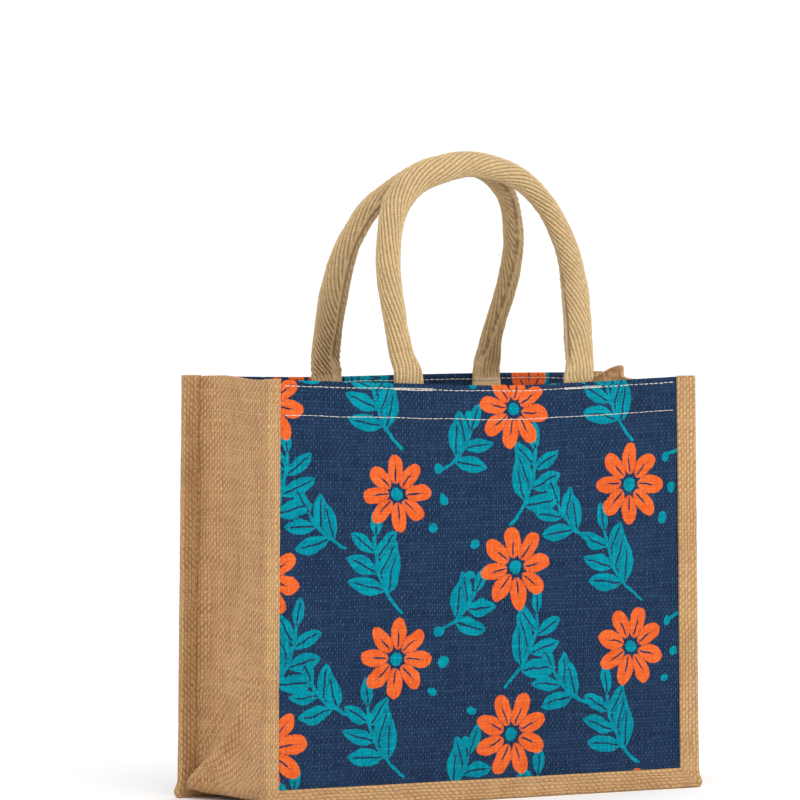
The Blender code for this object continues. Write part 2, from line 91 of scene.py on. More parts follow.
def curve_through(rows, key, value):
    """A smooth curve through one column of a table, as a function of arrays."""
    rows = sorted(rows, key=lambda row: getattr(row, key))
    at = np.array([getattr(row, key) for row in rows])
    found = np.array([getattr(row, value) for row in rows])
    number = np.arange(len(rows))
    before, after = np.maximum(number - 1, 0), np.minimum(number + 1, len(rows) - 1)
    slopes = (found[after] - found[before]) / (at[after] - at[before])

    def curve(place):
        place = np.clip(place, at[0], at[-1])
        i = np.clip(np.searchsorted(at, place, side="right") - 1, 0, len(rows) - 2)
        length = at[i + 1] - at[i]
        t = (place - at[i]) / length
        return (
            (2 * t**3 - 3 * t**2 + 1) * found[i]
            + (t**3 - 2 * t**2 + t) * slopes[i] * length
            + (3 * t**2 - 2 * t**3) * found[i + 1]
            + (t**3 - t**2) * slopes[i + 1] * length
        )

    return curve


# %% [markdown]
# ## The hang of the cloth
# A new bag is a square box. One that has stood and hung has a rim that sags, panels that bulge
# a little and side walls that are drawn in. Instead of a simulation, a few short tables say how
# far each place has moved. One function, `settle`, then moves any point of the square bag to
# its place on the used one, so that all the pieces still meet.

# %% Tables of the hang
RimRow = namedtuple("RimRow", "share front back")
RIM = (
    RimRow(share=0.00, front=0.0000, back=0.0020),
    RimRow(share=0.28, front=-0.0027, back=0.0012),
    RimRow(share=0.54, front=-0.0046, back=0.0028),
    RimRow(share=0.75, front=-0.0026, back=0.0038),
    RimRow(share=1.00, front=0.0014, back=0.0040),
)
SideRim = namedtuple("SideRim", "share left right")
SIDE_RIM = (
    SideRim(share=0.00, left=0.0000, right=0.0000),
    SideRim(share=0.20, left=-0.0004, right=-0.0026),
    SideRim(share=0.40, left=-0.0008, right=-0.0032),
    SideRim(share=0.54, left=0.0002, right=-0.0012),
    SideRim(share=0.58, left=0.0006, right=0.0050),
    SideRim(share=0.67, left=0.0010, right=0.0060),
    SideRim(share=0.73, left=0.0013, right=0.0040),
    SideRim(share=0.80, left=0.0011, right=-0.0014),
    SideRim(share=0.92, left=0.0006, right=-0.0010),
    SideRim(share=1.00, left=0.0000, right=0.0000),
)
BulgeRow = namedtuple("BulgeRow", "height front back")
BULGE = (
    BulgeRow(height=0.000, front=0.0000, back=0.0000),
    BulgeRow(height=0.060, front=0.0035, back=0.0030),
    BulgeRow(height=0.150, front=0.0060, back=0.0050),
    BulgeRow(height=0.240, front=0.0045, back=0.0035),
    BulgeRow(height=0.300, front=0.0020, back=0.0015),
)
rim_front = curve_through(RIM, "share", "front")
rim_back = curve_through(RIM, "share", "back")
side_rim = {name: curve_through(SIDE_RIM, "share", name) for name in ("left", "right")}
bulge_front = curve_through(BULGE, "height", "front")
bulge_back = curve_through(BULGE, "height", "back")


# %% The settled shape
SIDE_BAND = 0.2  # share of the half width, next to each side wall, that follows the wall's rim
STILL_BELOW = 0.45  # share of the height below which the rim's waves have died out


def settle(points):
    """Moves points of the square, new bag to where they are on the used bag."""
    x, y, z = points[..., 0], points[..., 1], points[..., 2]
    up = np.clip(z / BAG_HEIGHT, 0.0, 1.0)
    middle = np.clip(1 - (x / HALF_WIDTH) ** 2, 0.0, 1.0)
    across = np.clip(0.5 + x / PANEL_WIDTH, 0.0, 1.0)
    inward = np.clip(0.5 + y / BAG_DEPTH, 0.0, 1.0)
    height = np.clip(z, 0.0, BAG_HEIGHT)
    bulge = mix(-bulge_front(height), bulge_back(height), inward)
    near_side = smooth((np.abs(x) - (1 - SIDE_BAND) * HALF_WIDTH) / (SIDE_BAND * HALF_WIDTH))
    side_rise = np.where(x < 0, side_rim["left"](inward), side_rim["right"](inward))
    rise = mix(rim_front(across), rim_back(across), inward) + near_side * side_rise
    return np.stack(
        [
            x * (1 - TOP_NARROWER * up),
            y * (1 - TOP_SHALLOWER * up) + bulge * middle,
            z + rise * smooth((up - STILL_BELOW) / (1 - STILL_BELOW)),
        ],
        axis=-1,
    )


# %% [markdown]
# ## Unevenness
# Burlap is never flat: it ripples over its coarse yarns and puckers at each seam. A lattice of
# random numbers, read smoothly, gives soft hills of a chosen size. The numbers come from a
# seeded generator, so that the bag is the same at each run.

# %% Soft random hills
LATTICE = 64  # numbers each way, before the pattern comes round again
RIPPLES = ((0.00040, 0.055), (0.00018, 0.021), (0.00006, 0.007))  # height and size of the waves


def hills(across, along, size, seed):
    """Smooth noise from -1 to 1 whose hills are about size metres wide."""
    lattice = np.random.default_rng(seed).uniform(-1, 1, (LATTICE, LATTICE))
    a, b = np.asarray(across) / size, np.asarray(along) / size
    i, j = np.floor(a).astype(int), np.floor(b).astype(int)
    s, t = smooth(a - i), smooth(b - j)
    i, j, next_i, next_j = (number % LATTICE for number in (i, j, i + 1, j + 1))
    low = mix(lattice[i, j], lattice[next_i, j], s)
    high = mix(lattice[i, next_j], lattice[next_i, next_j], s)
    return mix(low, high, t)


def ripple(across, along, seed):
    """Unevenness of a cloth in metres: broad waves, and smaller ones upon them."""
    return sum(height * hills(across, along, size, seed + k) for k, (height, size) in enumerate(RIPPLES))


# %% [markdown]
# ## From a swept loop to a mesh
# Each piece here is a closed loop, its cross-section, swept along a line: a panel's section
# goes up its outer face, over the rim and down inside, and is swept from left to right. So one
# builder serves them all. It also lays out a second map, `cloth`, which says in metres where a
# point lies on the flat, uncut cloth. The weave and the print are drawn on that map, which is
# why they don't stretch where the cloth bends.

# %% The builder
CRISP = math.radians(55)  # faces that meet at more than this keep a sharp edge


def swept_body(name, loops, flat, values=None):
    """loops: steps x places x 3. flat: steps x (places + 1) x 2. values: name -> steps x places."""
    steps, places = loops.shape[:2]
    number = np.arange(steps * places).reshape(steps, places)
    nxt = np.roll(number, -1, axis=1)
    quads = np.stack([number[:-1], nxt[:-1], nxt[1:], number[1:]], axis=-1).reshape(-1, 4)
    flat_number = np.arange(steps * (places + 1)).reshape(steps, places + 1)
    here, there = flat_number[:, :-1], flat_number[:, 1:]
    flat_quads = np.stack([here[:-1], there[:-1], there[1:], here[1:]], axis=-1).reshape(-1, 4)
    points = loops.reshape(-1, 3)
    a, b, c, d = (points[quads[:, k]] for k in range(4))
    volume = np.einsum("ij,ij->i", a, np.cross(b, c) + np.cross(c, d)).sum()
    ends = [number[0][::-1], number[-1]]
    flat_ends = [flat_number[0, :-1][::-1], flat_number[-1, :-1]]
    if volume < 0:
        quads, flat_quads = quads[:, ::-1], flat_quads[:, ::-1]
        ends = [end[::-1] for end in ends]
        flat_ends = [end[::-1] for end in flat_ends]
    mesh = bpy.data.meshes.new(name)
    mesh.from_pydata(points.tolist(), [], quads.tolist() + [end.tolist() for end in ends])
    uv = mesh.uv_layers.new(name="cloth")
    loop_flat = np.concatenate([flat_quads.reshape(-1)] + flat_ends)
    uv.data.foreach_set("uv", flat.reshape(-1, 2)[loop_flat].astype(np.float32).reshape(-1))
    for layer, numbers in (values or {}).items():
        attribute = mesh.attributes.new(layer, "FLOAT", "POINT")
        attribute.data.foreach_set("value", numbers.astype(np.float32).reshape(-1))
    mesh.update()
    mesh.shade_smooth()
    mesh.set_sharp_from_angle(angle=CRISP)
    piece = bpy.data.objects.new(name, mesh)
    bpy.context.collection.objects.link(piece)
    print(f"{name}: {2 * len(quads)} triangles")
    return piece


def stands_for(piece, node, material):
    """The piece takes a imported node's place and a finish of its own."""
    piece.data.materials.append(material)
    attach(piece, "root")
    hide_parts(node)
    low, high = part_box(node)
    points = np.array([vertex.co for vertex in piece.data.vertices])
    proud = max(np.max(np.array(low) - points.min(0)), np.max(points.max(0) - np.array(high)))
    print(f"{piece.name}: stands proud of {node} by {1000 * proud:.1f} mm at most")


# %% [markdown]
# ## A small kit for finishes
# A finish is a graph of nodes. Writing each node and link by hand is long, so these helpers
# take numbers or sockets and give back a socket, and a finish then reads like a formula.

# %% Node helpers
def new_finish(name, roughness, sheen=0.0):
    finish = bpy.data.materials.new(name)
    finish.use_nodes = True
    shader = finish.node_tree.nodes["Principled BSDF"]
    shader.inputs["Roughness"].default_value = roughness
    shader.inputs["Specular IOR Level"].default_value = 0.25
    shader.inputs["Sheen Weight"].default_value = sheen
    shader.inputs["Sheen Roughness"].default_value = 0.6
    return finish, finish.node_tree, shader


def plug(tree, socket, value):
    if isinstance(value, bpy.types.NodeSocket):
        tree.links.new(value, socket)
    else:
        socket.default_value = value


def math_node(tree, operation, first, second=None, third=None):
    node = tree.nodes.new("ShaderNodeMath")
    node.operation = operation
    for socket, value in zip(node.inputs, (first, second, third)):
        if value is not None:
            plug(tree, socket, value)
    return node.outputs[0]


def product(tree, first, second):
    return math_node(tree, "MULTIPLY", first, second)


def between(tree, value, low, high, to_low=0.0, to_high=1.0):
    """Maps low..high to to_low..to_high with soft ends."""
    node = tree.nodes.new("ShaderNodeMapRange")
    node.interpolation_type = "SMOOTHSTEP"
    for socket, number in zip(node.inputs, (value, low, high, to_low, to_high)):
        plug(tree, socket, number)
    return node.outputs[0]


def blend_colours(tree, share, first, second):
    """From the first colour to the second; a mix node keeps its colour sockets at 6, 7 and 2."""
    node = tree.nodes.new("ShaderNodeMix")
    node.data_type = "RGBA"
    plug(tree, node.inputs[0], share)
    plug(tree, node.inputs[6], first)
    plug(tree, node.inputs[7], second)
    return node.outputs[2]


def cloth_map(tree):
    """The flat cloth's two coordinates in metres."""
    uv = tree.nodes.new("ShaderNodeUVMap")
    uv.uv_map = "cloth"
    split = tree.nodes.new("ShaderNodeSeparateXYZ")
    tree.links.new(uv.outputs[0], split.inputs[0])
    return split.outputs[0], split.outputs[1]


def noise(tree, across, along, per_metre_across, per_metre_along, seed, detail):
    """Noise from 0 to 1, with its own scale each way, so that it can be drawn out into streaks."""
    place = tree.nodes.new("ShaderNodeCombineXYZ")
    plug(tree, place.inputs[0], product(tree, across, per_metre_across))
    plug(tree, place.inputs[1], product(tree, along, per_metre_along))
    plug(tree, place.inputs[2], seed)
    texture = tree.nodes.new("ShaderNodeTexNoise")
    texture.inputs["Scale"].default_value = 1.0
    texture.inputs["Detail"].default_value = detail
    tree.links.new(place.outputs[0], texture.inputs["Vector"])
    return texture.outputs["Fac"]


def attribute(tree, name):
    node = tree.nodes.new("ShaderNodeAttribute")
    node.attribute_name = name
    return node.outputs["Fac"]


def srgb(red, green, blue):
    """A colour as a screen shows it, 0 to 255, turned into the light values a shader wants."""
    shares = [channel / 255 for channel in (red, green, blue)]
    return tuple(s / 12.92 if s <= 0.04045 else ((s + 0.055) / 1.055) ** 2.4 for s in shares) + (1.0,)


# %% [markdown]
# ## The weave
# Burlap is a plain weave: each yarn goes over one and under the next, like a chessboard. The
# height of the cloth is then the higher one of two sets of round yarns, each lifted and pressed
# down in turn. Three things make it jute and not graph paper: the yarns wander and swell, each
# has its own shade, and the lengthwise yarns lie prouder, so that their tops show as rows of
# pale dots; on bare jute that paleness is partly a painted highlight. The twist of the yarn also
# lays each dot at a slant, and the eye joins them into diagonal lines. At 2 to 3 mm from yarn to
# yarn this is too fine for a mesh of the whole bag, so the relief goes into the surface's bump.

# %% Plain weave as a height, a crown and a shade
Weave = namedtuple("Weave", "height crown shade")
SLANT = 0.55  # how far a crown is rolled by its yarn's twist, in steps of the weave
WANDER = 1.1  # how far a yarn strays from its line, in steps
SWAY = 130, 45  # and how often in a metre, across and along
YARN_TONE = 0.73, 26  # how fast the tone changes from yarn to yarn, and in a metre of one yarn
WARP_LEVEL, WARP_LIFT = 0.58, 0.42
WEFT_LEVEL, WEFT_LIFT = 0.54, -0.40


def plain_weave(tree, across, along, pitch_across, pitch_along):
    """Height is 0 in the pores; crown is over 0 on lengthwise yarns and under 0 on the others."""
    sway = math_node(tree, "SUBTRACT", noise(tree, across, along, *SWAY, 1.7, 1.0), 0.5)
    drift = math_node(tree, "SUBTRACT", noise(tree, across, along, *SWAY[::-1], 5.3, 1.0), 0.5)
    u = math_node(tree, "MULTIPLY_ADD", across, 1 / pitch_across, product(tree, sway, WANDER))
    v = math_node(tree, "MULTIPLY_ADD", along, 1 / pitch_along, product(tree, drift, WANDER))
    column, row = math_node(tree, "FLOOR", u), math_node(tree, "FLOOR", v)
    in_column, in_row = math_node(tree, "FRACT", u), math_node(tree, "FRACT", v)

    def half_wave(value):
        return math_node(tree, "SINE", product(tree, value, math.pi))

    def slanted_wave(place, number, inside):
        """Up and down along a yarn, shifted from one edge of the yarn to the other."""
        shifted = math_node(tree, "MULTIPLY_ADD", inside, -SLANT, math_node(tree, "ADD", number, SLANT / 2))
        return half_wave(math_node(tree, "ADD", place, shifted))

    # each yarn is round across its width, and goes up and down along its length
    warp_wave = slanted_wave(v, column, in_column)
    weft_wave = slanted_wave(u, row, in_row)
    warp_rise = math_node(tree, "MULTIPLY_ADD", warp_wave, WARP_LIFT, WARP_LEVEL)
    weft_rise = math_node(tree, "MULTIPLY_ADD", weft_wave, WEFT_LIFT, WEFT_LEVEL)
    warp = product(tree, half_wave(in_column), warp_rise)
    weft = product(tree, half_wave(in_row), weft_rise)
    height = math_node(tree, "MAXIMUM", warp, weft)
    crown = math_node(tree, "SUBTRACT", warp, weft)
    # the shade is that of whichever yarn lies on top
    warp_shade = noise(tree, column, along, *YARN_TONE, 11.0, 2.0)
    weft_shade = noise(tree, row, across, *YARN_TONE, 37.0, 2.0)
    difference = math_node(tree, "SUBTRACT", warp_shade, weft_shade)
    lift = product(tree, between(tree, crown, -0.1, 0.1), difference)
    return Weave(height, crown, math_node(tree, "ADD", weft_shade, lift))


def add_bump(tree, shader, height, depth, strength=1.0):
    bump = tree.nodes.new("ShaderNodeBump")
    bump.inputs["Strength"].default_value = strength
    bump.inputs["Distance"].default_value = depth
    tree.links.new(height, bump.inputs["Height"])
    tree.links.new(bump.outputs[0], shader.inputs["Normal"])


# %% [markdown]
# ## Natural jute
# Raw jute runs from straw to brown within one yarn, with pores between the yarns. The
# finish mixes two tones by the yarn's own shade, lightens the crowns, partly for their paler
# yarn and partly as a painted highlight, adds pale fibres, broad stains and dark slubs, and
# darkens the pores with painted shade. The binding tape is a touch darker, and its lengthwise
# yarns lie closer.

# %% Colour of bare jute
# pore is painted shade: the dark colour that the pores between the yarns are blended to
JuteTones = namedtuple("JuteTones", "light middle dark pore")
WALL_TONES = JuteTones(
    light=srgb(208, 167, 120), middle=srgb(183, 142, 96), dark=srgb(156, 114, 71), pore=srgb(84, 54, 28)
)
TAPE_TONES = JuteTones(
    light=srgb(200, 162, 117), middle=srgb(176, 138, 94), dark=srgb(153, 114, 72), pore=srgb(88, 59, 32)
)
JUTE_RELIEF = 0.00024
Fleck = namedtuple("Fleck", "across along seed detail low high most tone")
JUTE_FLECKS = (  # fibres, stains and slubs, by their number in a metre across and along the cloth
    Fleck(across=2200, along=1500, seed=3.0, detail=2.0, low=0.46, high=0.74, most=0.50, tone="light"),
    Fleck(across=34, along=22, seed=9.0, detail=3.0, low=0.42, high=0.70, most=0.35, tone="dark"),
    Fleck(across=150, along=40, seed=15.0, detail=1.0, low=0.56, high=0.74, most=0.45, tone="dark"),
)


def jute_colour(tree, across, along, weave, tones):
    tone = blend_colours(tree, between(tree, weave.shade, 0.34, 0.66), tones.dark, tones.middle)
    # the crowns of the lengthwise yarns are lightened: partly their paler yarn, partly a painted highlight
    # on their tops
    crown_tone_and_highlight = between(tree, weave.crown, -0.25, 0.75, 0.0, 0.78)
    tone = blend_colours(tree, crown_tone_and_highlight, tone, tones.light)
    for fleck in JUTE_FLECKS:
        field = noise(tree, across, along, fleck.across, fleck.along, fleck.seed, fleck.detail)
        share = between(tree, field, fleck.low, fleck.high, 0.0, fleck.most)
        tone = blend_colours(tree, share, tone, getattr(tones, fleck.tone))
    # painted shade: the pores between the yarns are darkened
    return blend_colours(tree, between(tree, weave.height, 0.46, 0.10, 0.0, 0.60), tone, tones.pore)


def jute_finish(name, tones, pitch_across, pitch_along):
    finish, tree, shader = new_finish(name, roughness=0.95, sheen=0.05)
    across, along = cloth_map(tree)
    weave = plain_weave(tree, across, along, pitch_across, pitch_along)
    tree.links.new(jute_colour(tree, across, along, weave, tones), shader.inputs["Base Color"])
    add_bump(tree, shader, weave.height, JUTE_RELIEF)
    return finish


plain_jute = jute_finish("plain_jute_cloth", WALL_TONES, pitch_across=0.0031, pitch_along=0.00245)
tape_jute = jute_finish("tape_cloth", TAPE_TONES, pitch_across=0.00244, pitch_along=0.0025)
print("finishes:", plain_jute.name, tape_jute.name)

# %% [markdown]
# ## The print, as distances
# The panels carry a flower print. This one is a plain half-drop repeat made for the lesson:
# round-petalled daisies in orange, sprigs with paired pointed leaves and single dots in teal. A
# picture would blur when seen close, so each point of the cloth stores how far it is from the
# nearest edge of a motif, below zero inside it. Such a distance changes evenly from point to
# point, so the shader can find a crisp edge between two points of the mesh.

# %% Distances to simple outlines
def turned(x, y, angle):
    cosine, sine = math.cos(angle), math.sin(angle)
    return x * cosine + y * sine, y * cosine - x * sine


def oval(x, y, half_length, half_width):
    """Distance to an oval's edge, near enough for a print."""
    ratio = np.hypot(x / half_length, y / half_width)
    steepness = np.hypot(x / half_length**2, y / half_width**2)
    return np.where(ratio < 1e-6, -half_width, ratio * (ratio - 1) / np.maximum(steepness, 1e-9))


def leaf_shape(x, y, half_length, half_width):
    """Distance to a leaf pointed at both ends: where two equal circles overlap."""
    radius = (half_length**2 + half_width**2) / (2 * half_width)
    shift = radius - half_width
    return np.maximum(np.hypot(x, y - shift), np.hypot(x, y + shift)) - radius


def stroke(x, y, path, half_width):
    """Distance to a line drawn through the points of a path with round ends."""
    nearest = np.full(np.shape(x), 1.0)
    for (ax, ay), (bx, by) in zip(path, path[1:]):
        length_squared = (bx - ax) ** 2 + (by - ay) ** 2
        share = np.clip(((x - ax) * (bx - ax) + (y - ay) * (by - ay)) / length_squared, 0, 1)
        nearest = np.minimum(nearest, np.hypot(x - mix(ax, bx, share), y - mix(ay, by, share)))
    return nearest - half_width


# %% A daisy and a sprig
PETALS = 8
# of a daisy's radius: a petal's middle, half length, half width and swelling, and the eye
PETAL_AT, PETAL_LONG, PETAL_WIDE, PETAL_SWELL, EYE = 0.62, 0.38, 0.205, 0.30, 0.165
PETAL_SLIT = 0.34, 0.60  # where the bare slit in a petal starts and ends
STALK = 0.0012
LEAF_LEAN = math.radians(46)
LEAF_WIDE = 0.43  # of a leaf's half length
LEAF_SLIT = 0.25, 1.6
FAR = 0.02  # a distance at which no ink shows


class Print:
    """Distances to the orange ink, the teal ink and the thin slits left bare inside a motif."""

    def __init__(self, u, v):
        self.u, self.v = u, v
        self.orange = np.full(u.shape, FAR)
        self.teal = np.full(u.shape, FAR)
        self.slit = np.full(u.shape, FAR)

    def add(self, ink, distance, slit=None):
        known = getattr(self, ink)
        nearer = distance < known
        setattr(self, ink, np.where(nearer, distance, known))
        if slit is not None:
            self.slit = np.where(nearer & (distance < 0.001), slit, self.slit)

    def daisy(self, u, v, turn, radius):
        for k in range(PETALS):
            x, y = turned(self.u - u, self.v - v, turn + 2 * math.pi * k / PETALS)
            swell = 1 + PETAL_SWELL * np.clip(x / radius - 0.5, -0.5, 0.5)
            petal = oval(x - PETAL_AT * radius, y / swell, PETAL_LONG * radius, PETAL_WIDE * radius)
            beyond = np.maximum(PETAL_SLIT[0] * radius - x, x - PETAL_SLIT[1] * radius)
            slit = np.where(y < 0, -1, 1) * np.maximum(np.abs(y), beyond)
            self.add("orange", petal, slit)
        self.add("teal", np.hypot(self.u - u, self.v - v) - EYE * radius)

    def sprig(self, u, v, turn, length, bend, pairs, leaf):
        x, y = turned(self.u - u, self.v - v, turn)
        shares = np.linspace(-0.5, 0.5, 13)
        path = [(length * s, bend * length * (4 * s * s - 1) / 2) for s in shares]
        self.add("teal", stroke(x, y, path, STALK))
        for k in range(pairs * 2 + 1):
            pair, side = k // 2, 1 if k % 2 else -1
            share = mix(-0.22, 0.5, (pair + 0.22 * (k % 2)) / pairs)
            lean = side * LEAF_LEAN
            if k == pairs * 2:
                share, lean = 0.5, 0.0
            rise = bend * length * (4 * share * share - 1) / 2
            slope = math.atan(4 * bend * share)
            leaf_x, leaf_y = turned(x - length * share, y - rise, slope + lean)
            size = leaf * (1 - 0.10 * pair)
            outline = leaf_shape(leaf_x - size - 0.001, leaf_y, size, LEAF_WIDE * size)
            beyond = np.maximum(LEAF_SLIT[0] * size - leaf_x, leaf_x - LEAF_SLIT[1] * size)
            slit = np.where(leaf_y < 0, -1, 1) * np.maximum(np.abs(leaf_y), beyond)
            self.add("teal", outline, slit)

    def dot(self, u, v, turn, size):
        x, y = turned(self.u - u, self.v - v, turn)
        self.add("teal", oval(x, y, size, 0.82 * size))


# %% The half-drop repeat
REPEAT_ACROSS = 0.100
REPEAT_ALONG = 0.118
DAISY_RADIUS = 0.0290
DOT_SIZE = 0.0042
DOT_RING = 0.0385  # how far the dots lie from a daisy's middle
SLIP = 0.003  # how far a motif may lie off its place


def unsteady(place, u, v, seed):
    """Moves a place a little, so that no printed edge is quite even."""
    return place + 0.0011 * hills(u, v, 0.011, seed) + 0.0005 * hills(u, v, 0.0042, seed + 1)


def printed_fields(u, v, shift):
    """The whole repeat over the flat cloth, with each odd column moved along by half a repeat."""
    cloth = Print(unsteady(u, u, v, 31), unsteady(v, u, v, 33))
    hand = np.random.default_rng(40)
    for column in range(-3, 4):
        mirror = -1 if column % 2 else 1
        for row in range(-1, 4):
            drop = 0.5 * REPEAT_ALONG if column % 2 else 0.0
            at_u = column * REPEAT_ACROSS + shift[0] + hand.uniform(-SLIP, SLIP)
            at_v = row * REPEAT_ALONG + drop + shift[1] + hand.uniform(-SLIP, SLIP)
            turn = hand.uniform(0, 2 * math.pi / PETALS)
            cloth.daisy(at_u, at_v, turn, DAISY_RADIUS * hand.uniform(0.95, 1.05))
            lean = math.radians(90 - mirror * hand.uniform(20, 34))
            cloth.sprig(
                at_u + 0.007 * mirror, at_v + 0.5 * REPEAT_ALONG, lean,
                length=0.058, bend=0.24 * mirror, pairs=3, leaf=0.0152,
            )
            lean = math.radians(90 + mirror * hand.uniform(38, 52))
            cloth.sprig(
                at_u + 0.5 * REPEAT_ACROSS, at_v + 0.27 * REPEAT_ALONG, lean,
                length=0.036, bend=-0.20 * mirror, pairs=2, leaf=0.0140,
            )
            for k in range(3):
                angle = math.radians(90 + mirror * (62 + 34 * k))
                cloth.dot(
                    at_u + DOT_RING * math.cos(angle),
                    at_v + DOT_RING * math.sin(angle),
                    hand.uniform(0, math.pi),
                    DOT_SIZE * hand.uniform(0.8, 1.1),
                )
    return {"orange": cloth.orange, "teal": cloth.teal, "slit": cloth.slit}


# %% [markdown]
# ## Ink on cloth
# Printed jute is still jute. Ink sits on the tops of the yarns and misses the pores, and a few
# pale fibres show through the navy ground. So the print is mixed over the weave: each ink has
# a mask made from its distance, roughened a little, and the ground is flecked where a yarn
# comes to the top. The pores are darkened with painted shade, over the ground and the inks.
# The inner side of the cloth isn't printed, and stays plain jute.

# %% The printed finish
NAVY = srgb(19, 37, 63), srgb(30, 52, 80)
TEAL = srgb(0, 113, 131), srgb(0, 142, 158)
ORANGE = srgb(206, 84, 32), srgb(226, 104, 48)
PALE_NAVY = srgb(84, 110, 140)
# painted shade in the pores between the yarns
NAVY_PORE_SHADE = srgb(14, 24, 44)
INK_SOFT = 0.00024  # half the width of an ink's soft edge
INK_ROUGH = 0.0010
PRINT_RELIEF = 0.00028


def printed_finish():
    finish, tree, shader = new_finish("printed_cloth", roughness=0.92, sheen=0.0)
    shader.inputs["Specular IOR Level"].default_value = 0.06
    across, along = cloth_map(tree)
    weave = plain_weave(tree, across, along, pitch_across=0.0019, pitch_along=0.00245)
    rough_edge = math_node(tree, "SUBTRACT", noise(tree, across, along, 800, 800, 21.0, 1.0), 0.5)

    def inked(name):
        distance = math_node(tree, "MULTIPLY_ADD", rough_edge, INK_ROUGH, attribute(tree, name))
        return between(tree, distance, INK_SOFT, -INK_SOFT)

    slit = math_node(tree, "ABSOLUTE", attribute(tree, "slit"))
    slit = between(tree, slit, 0.00050, 0.00085)
    yarn = between(tree, weave.shade, 0.34, 0.68)
    ground = blend_colours(tree, yarn, *NAVY)
    lengthwise = between(tree, weave.crown, 0.34, 0.95, 0.0, 0.95)
    crosswise = between(tree, weave.crown, -0.42, -0.88, 0.0, 0.30)
    worn = between(tree, noise(tree, across, along, 330, 250, 51.0, 2.0), 0.34, 0.66, 0.20, 1.0)
    dot = product(tree, math_node(tree, "MAXIMUM", lengthwise, crosswise), worn)
    slub = between(tree, noise(tree, across, along, 14, 460, 63.0, 1.0), 0.62, 0.80, 0.58, 1.0)
    ground = blend_colours(tree, product(tree, dot, slub), ground, PALE_NAVY)
    # painted shade: the pores between the yarns are darkened on the ground
    pores = between(tree, weave.height, 0.42, 0.10)
    ground = blend_colours(tree, product(tree, pores, 0.45), ground, NAVY_PORE_SHADE)
    teal = blend_colours(tree, yarn, *TEAL)
    orange = blend_colours(tree, yarn, *ORANGE)
    colour = blend_colours(tree, product(tree, inked("teal"), slit), ground, teal)
    colour = blend_colours(tree, product(tree, inked("orange"), slit), colour, orange)
    # more painted shade in the pores, now over the inks as well, where the ink also misses them
    colour = blend_colours(tree, product(tree, pores, 0.22), colour, NAVY_PORE_SHADE)
    raw = jute_colour(tree, across, along, weave, WALL_TONES)
    colour = blend_colours(tree, attribute(tree, "printed"), raw, colour)
    tree.links.new(colour, shader.inputs["Base Color"])
    add_bump(tree, shader, weave.height, PRINT_RELIEF)
    return finish


printed_cloth = printed_finish()
print("finish:", printed_cloth.name, "with", len(printed_cloth.node_tree.nodes), "nodes")

# %% [markdown]
# ## The panels
# A panel is one rectangle of cloth. Its sides and foot run into the bound seams, and its top is
# turned in and sewn down as a hem 27 mm deep, so the print goes over the rim and shows inside.
# The section goes up the outer face, round the fold, down the hem and then down the bare inner
# side, and is swept from left to right.

# %% Shape of a panel
PRINT_STEP = 0.0014  # fine enough for the print's edges
INSIDE_STEP = 0.0070  # the bare inner side can be coarser
HEM_CLEAR = 0.006  # the hem stops short of the side seams
SEAM_HOLD = 0.002  # the cloth lies still this far from a seam
SEAM_EASE = 0.012  # and ripples freely after this much more
PUCKER, PUCKER_LENGTH, PUCKER_REACH = 0.00012, 0.0088, 0.005
HEM_RIDGE = 0.00022  # how far the hem's second layer lifts the outer face
RIM_PLACES = 8


def panel_ripple(x, z, side):
    """Unevenness of a panel, which dies out inside its bound seams."""
    from_side, from_foot = HALF_WIDTH - SEAM_HOLD - np.abs(x), z - SEAM_HEIGHT - SEAM_HOLD
    free = smooth(from_side / SEAM_EASE) * smooth(from_foot / SEAM_EASE)
    pucker = PUCKER * np.sin(2 * math.pi * x / PUCKER_LENGTH + 2 * hills(x, z, 0.03, 5))
    near_rows = np.exp(-(((z - BAG_HEIGHT + 0.004) / PUCKER_REACH) ** 2))
    near_rows = near_rows + np.exp(-(((z - HEM_FOOT - 0.002) / PUCKER_REACH) ** 2))
    ridge = HEM_RIDGE * smooth((z - HEM_FOOT) / 0.0015)
    return free * (ripple(x + 0.3 * side, z, 60 + side) + pucker * near_rows + ridge)


def panel_point(x, depth, z, side):
    """A point of a panel: depth is measured inwards from its outer face."""
    y = side * (HALF_DEPTH - depth + panel_ripple(x, z, side))
    return settle(np.stack(np.broadcast_arrays(x, y, z), axis=-1))


def panel_section():
    """Places round the section: height, angle of the rim's turn, and whether it is past the hem."""
    heights = np.arange(SEAM_HEIGHT - EDGE_IN_TAPE, BAG_HEIGHT - HEM, PRINT_STEP)
    turn = np.linspace(0, math.pi, RIM_PLACES)
    hem_heights = np.arange(BAG_HEIGHT - HEM, HEM_FOOT, -2 * PRINT_STEP)
    inside = np.linspace(HEM_FOOT - 0.0008, SEAM_HEIGHT - EDGE_IN_TAPE, round(HEM_FOOT / INSIDE_STEP))
    hem_end = [HEM_FOOT, HEM_FOOT - 0.0006]
    z = np.concatenate([heights, np.full(RIM_PLACES, BAG_HEIGHT), hem_heights, hem_end, inside])
    down = 0 * hem_heights + math.pi
    turned_by = np.concatenate([0 * heights, turn, down, [math.pi, math.pi], 0 * inside])
    past_hem = np.concatenate([0 * heights, 0 * turn, 0 * hem_heights, [0.0, 0.35], 0 * inside + 1.0])
    return z, turned_by, past_hem


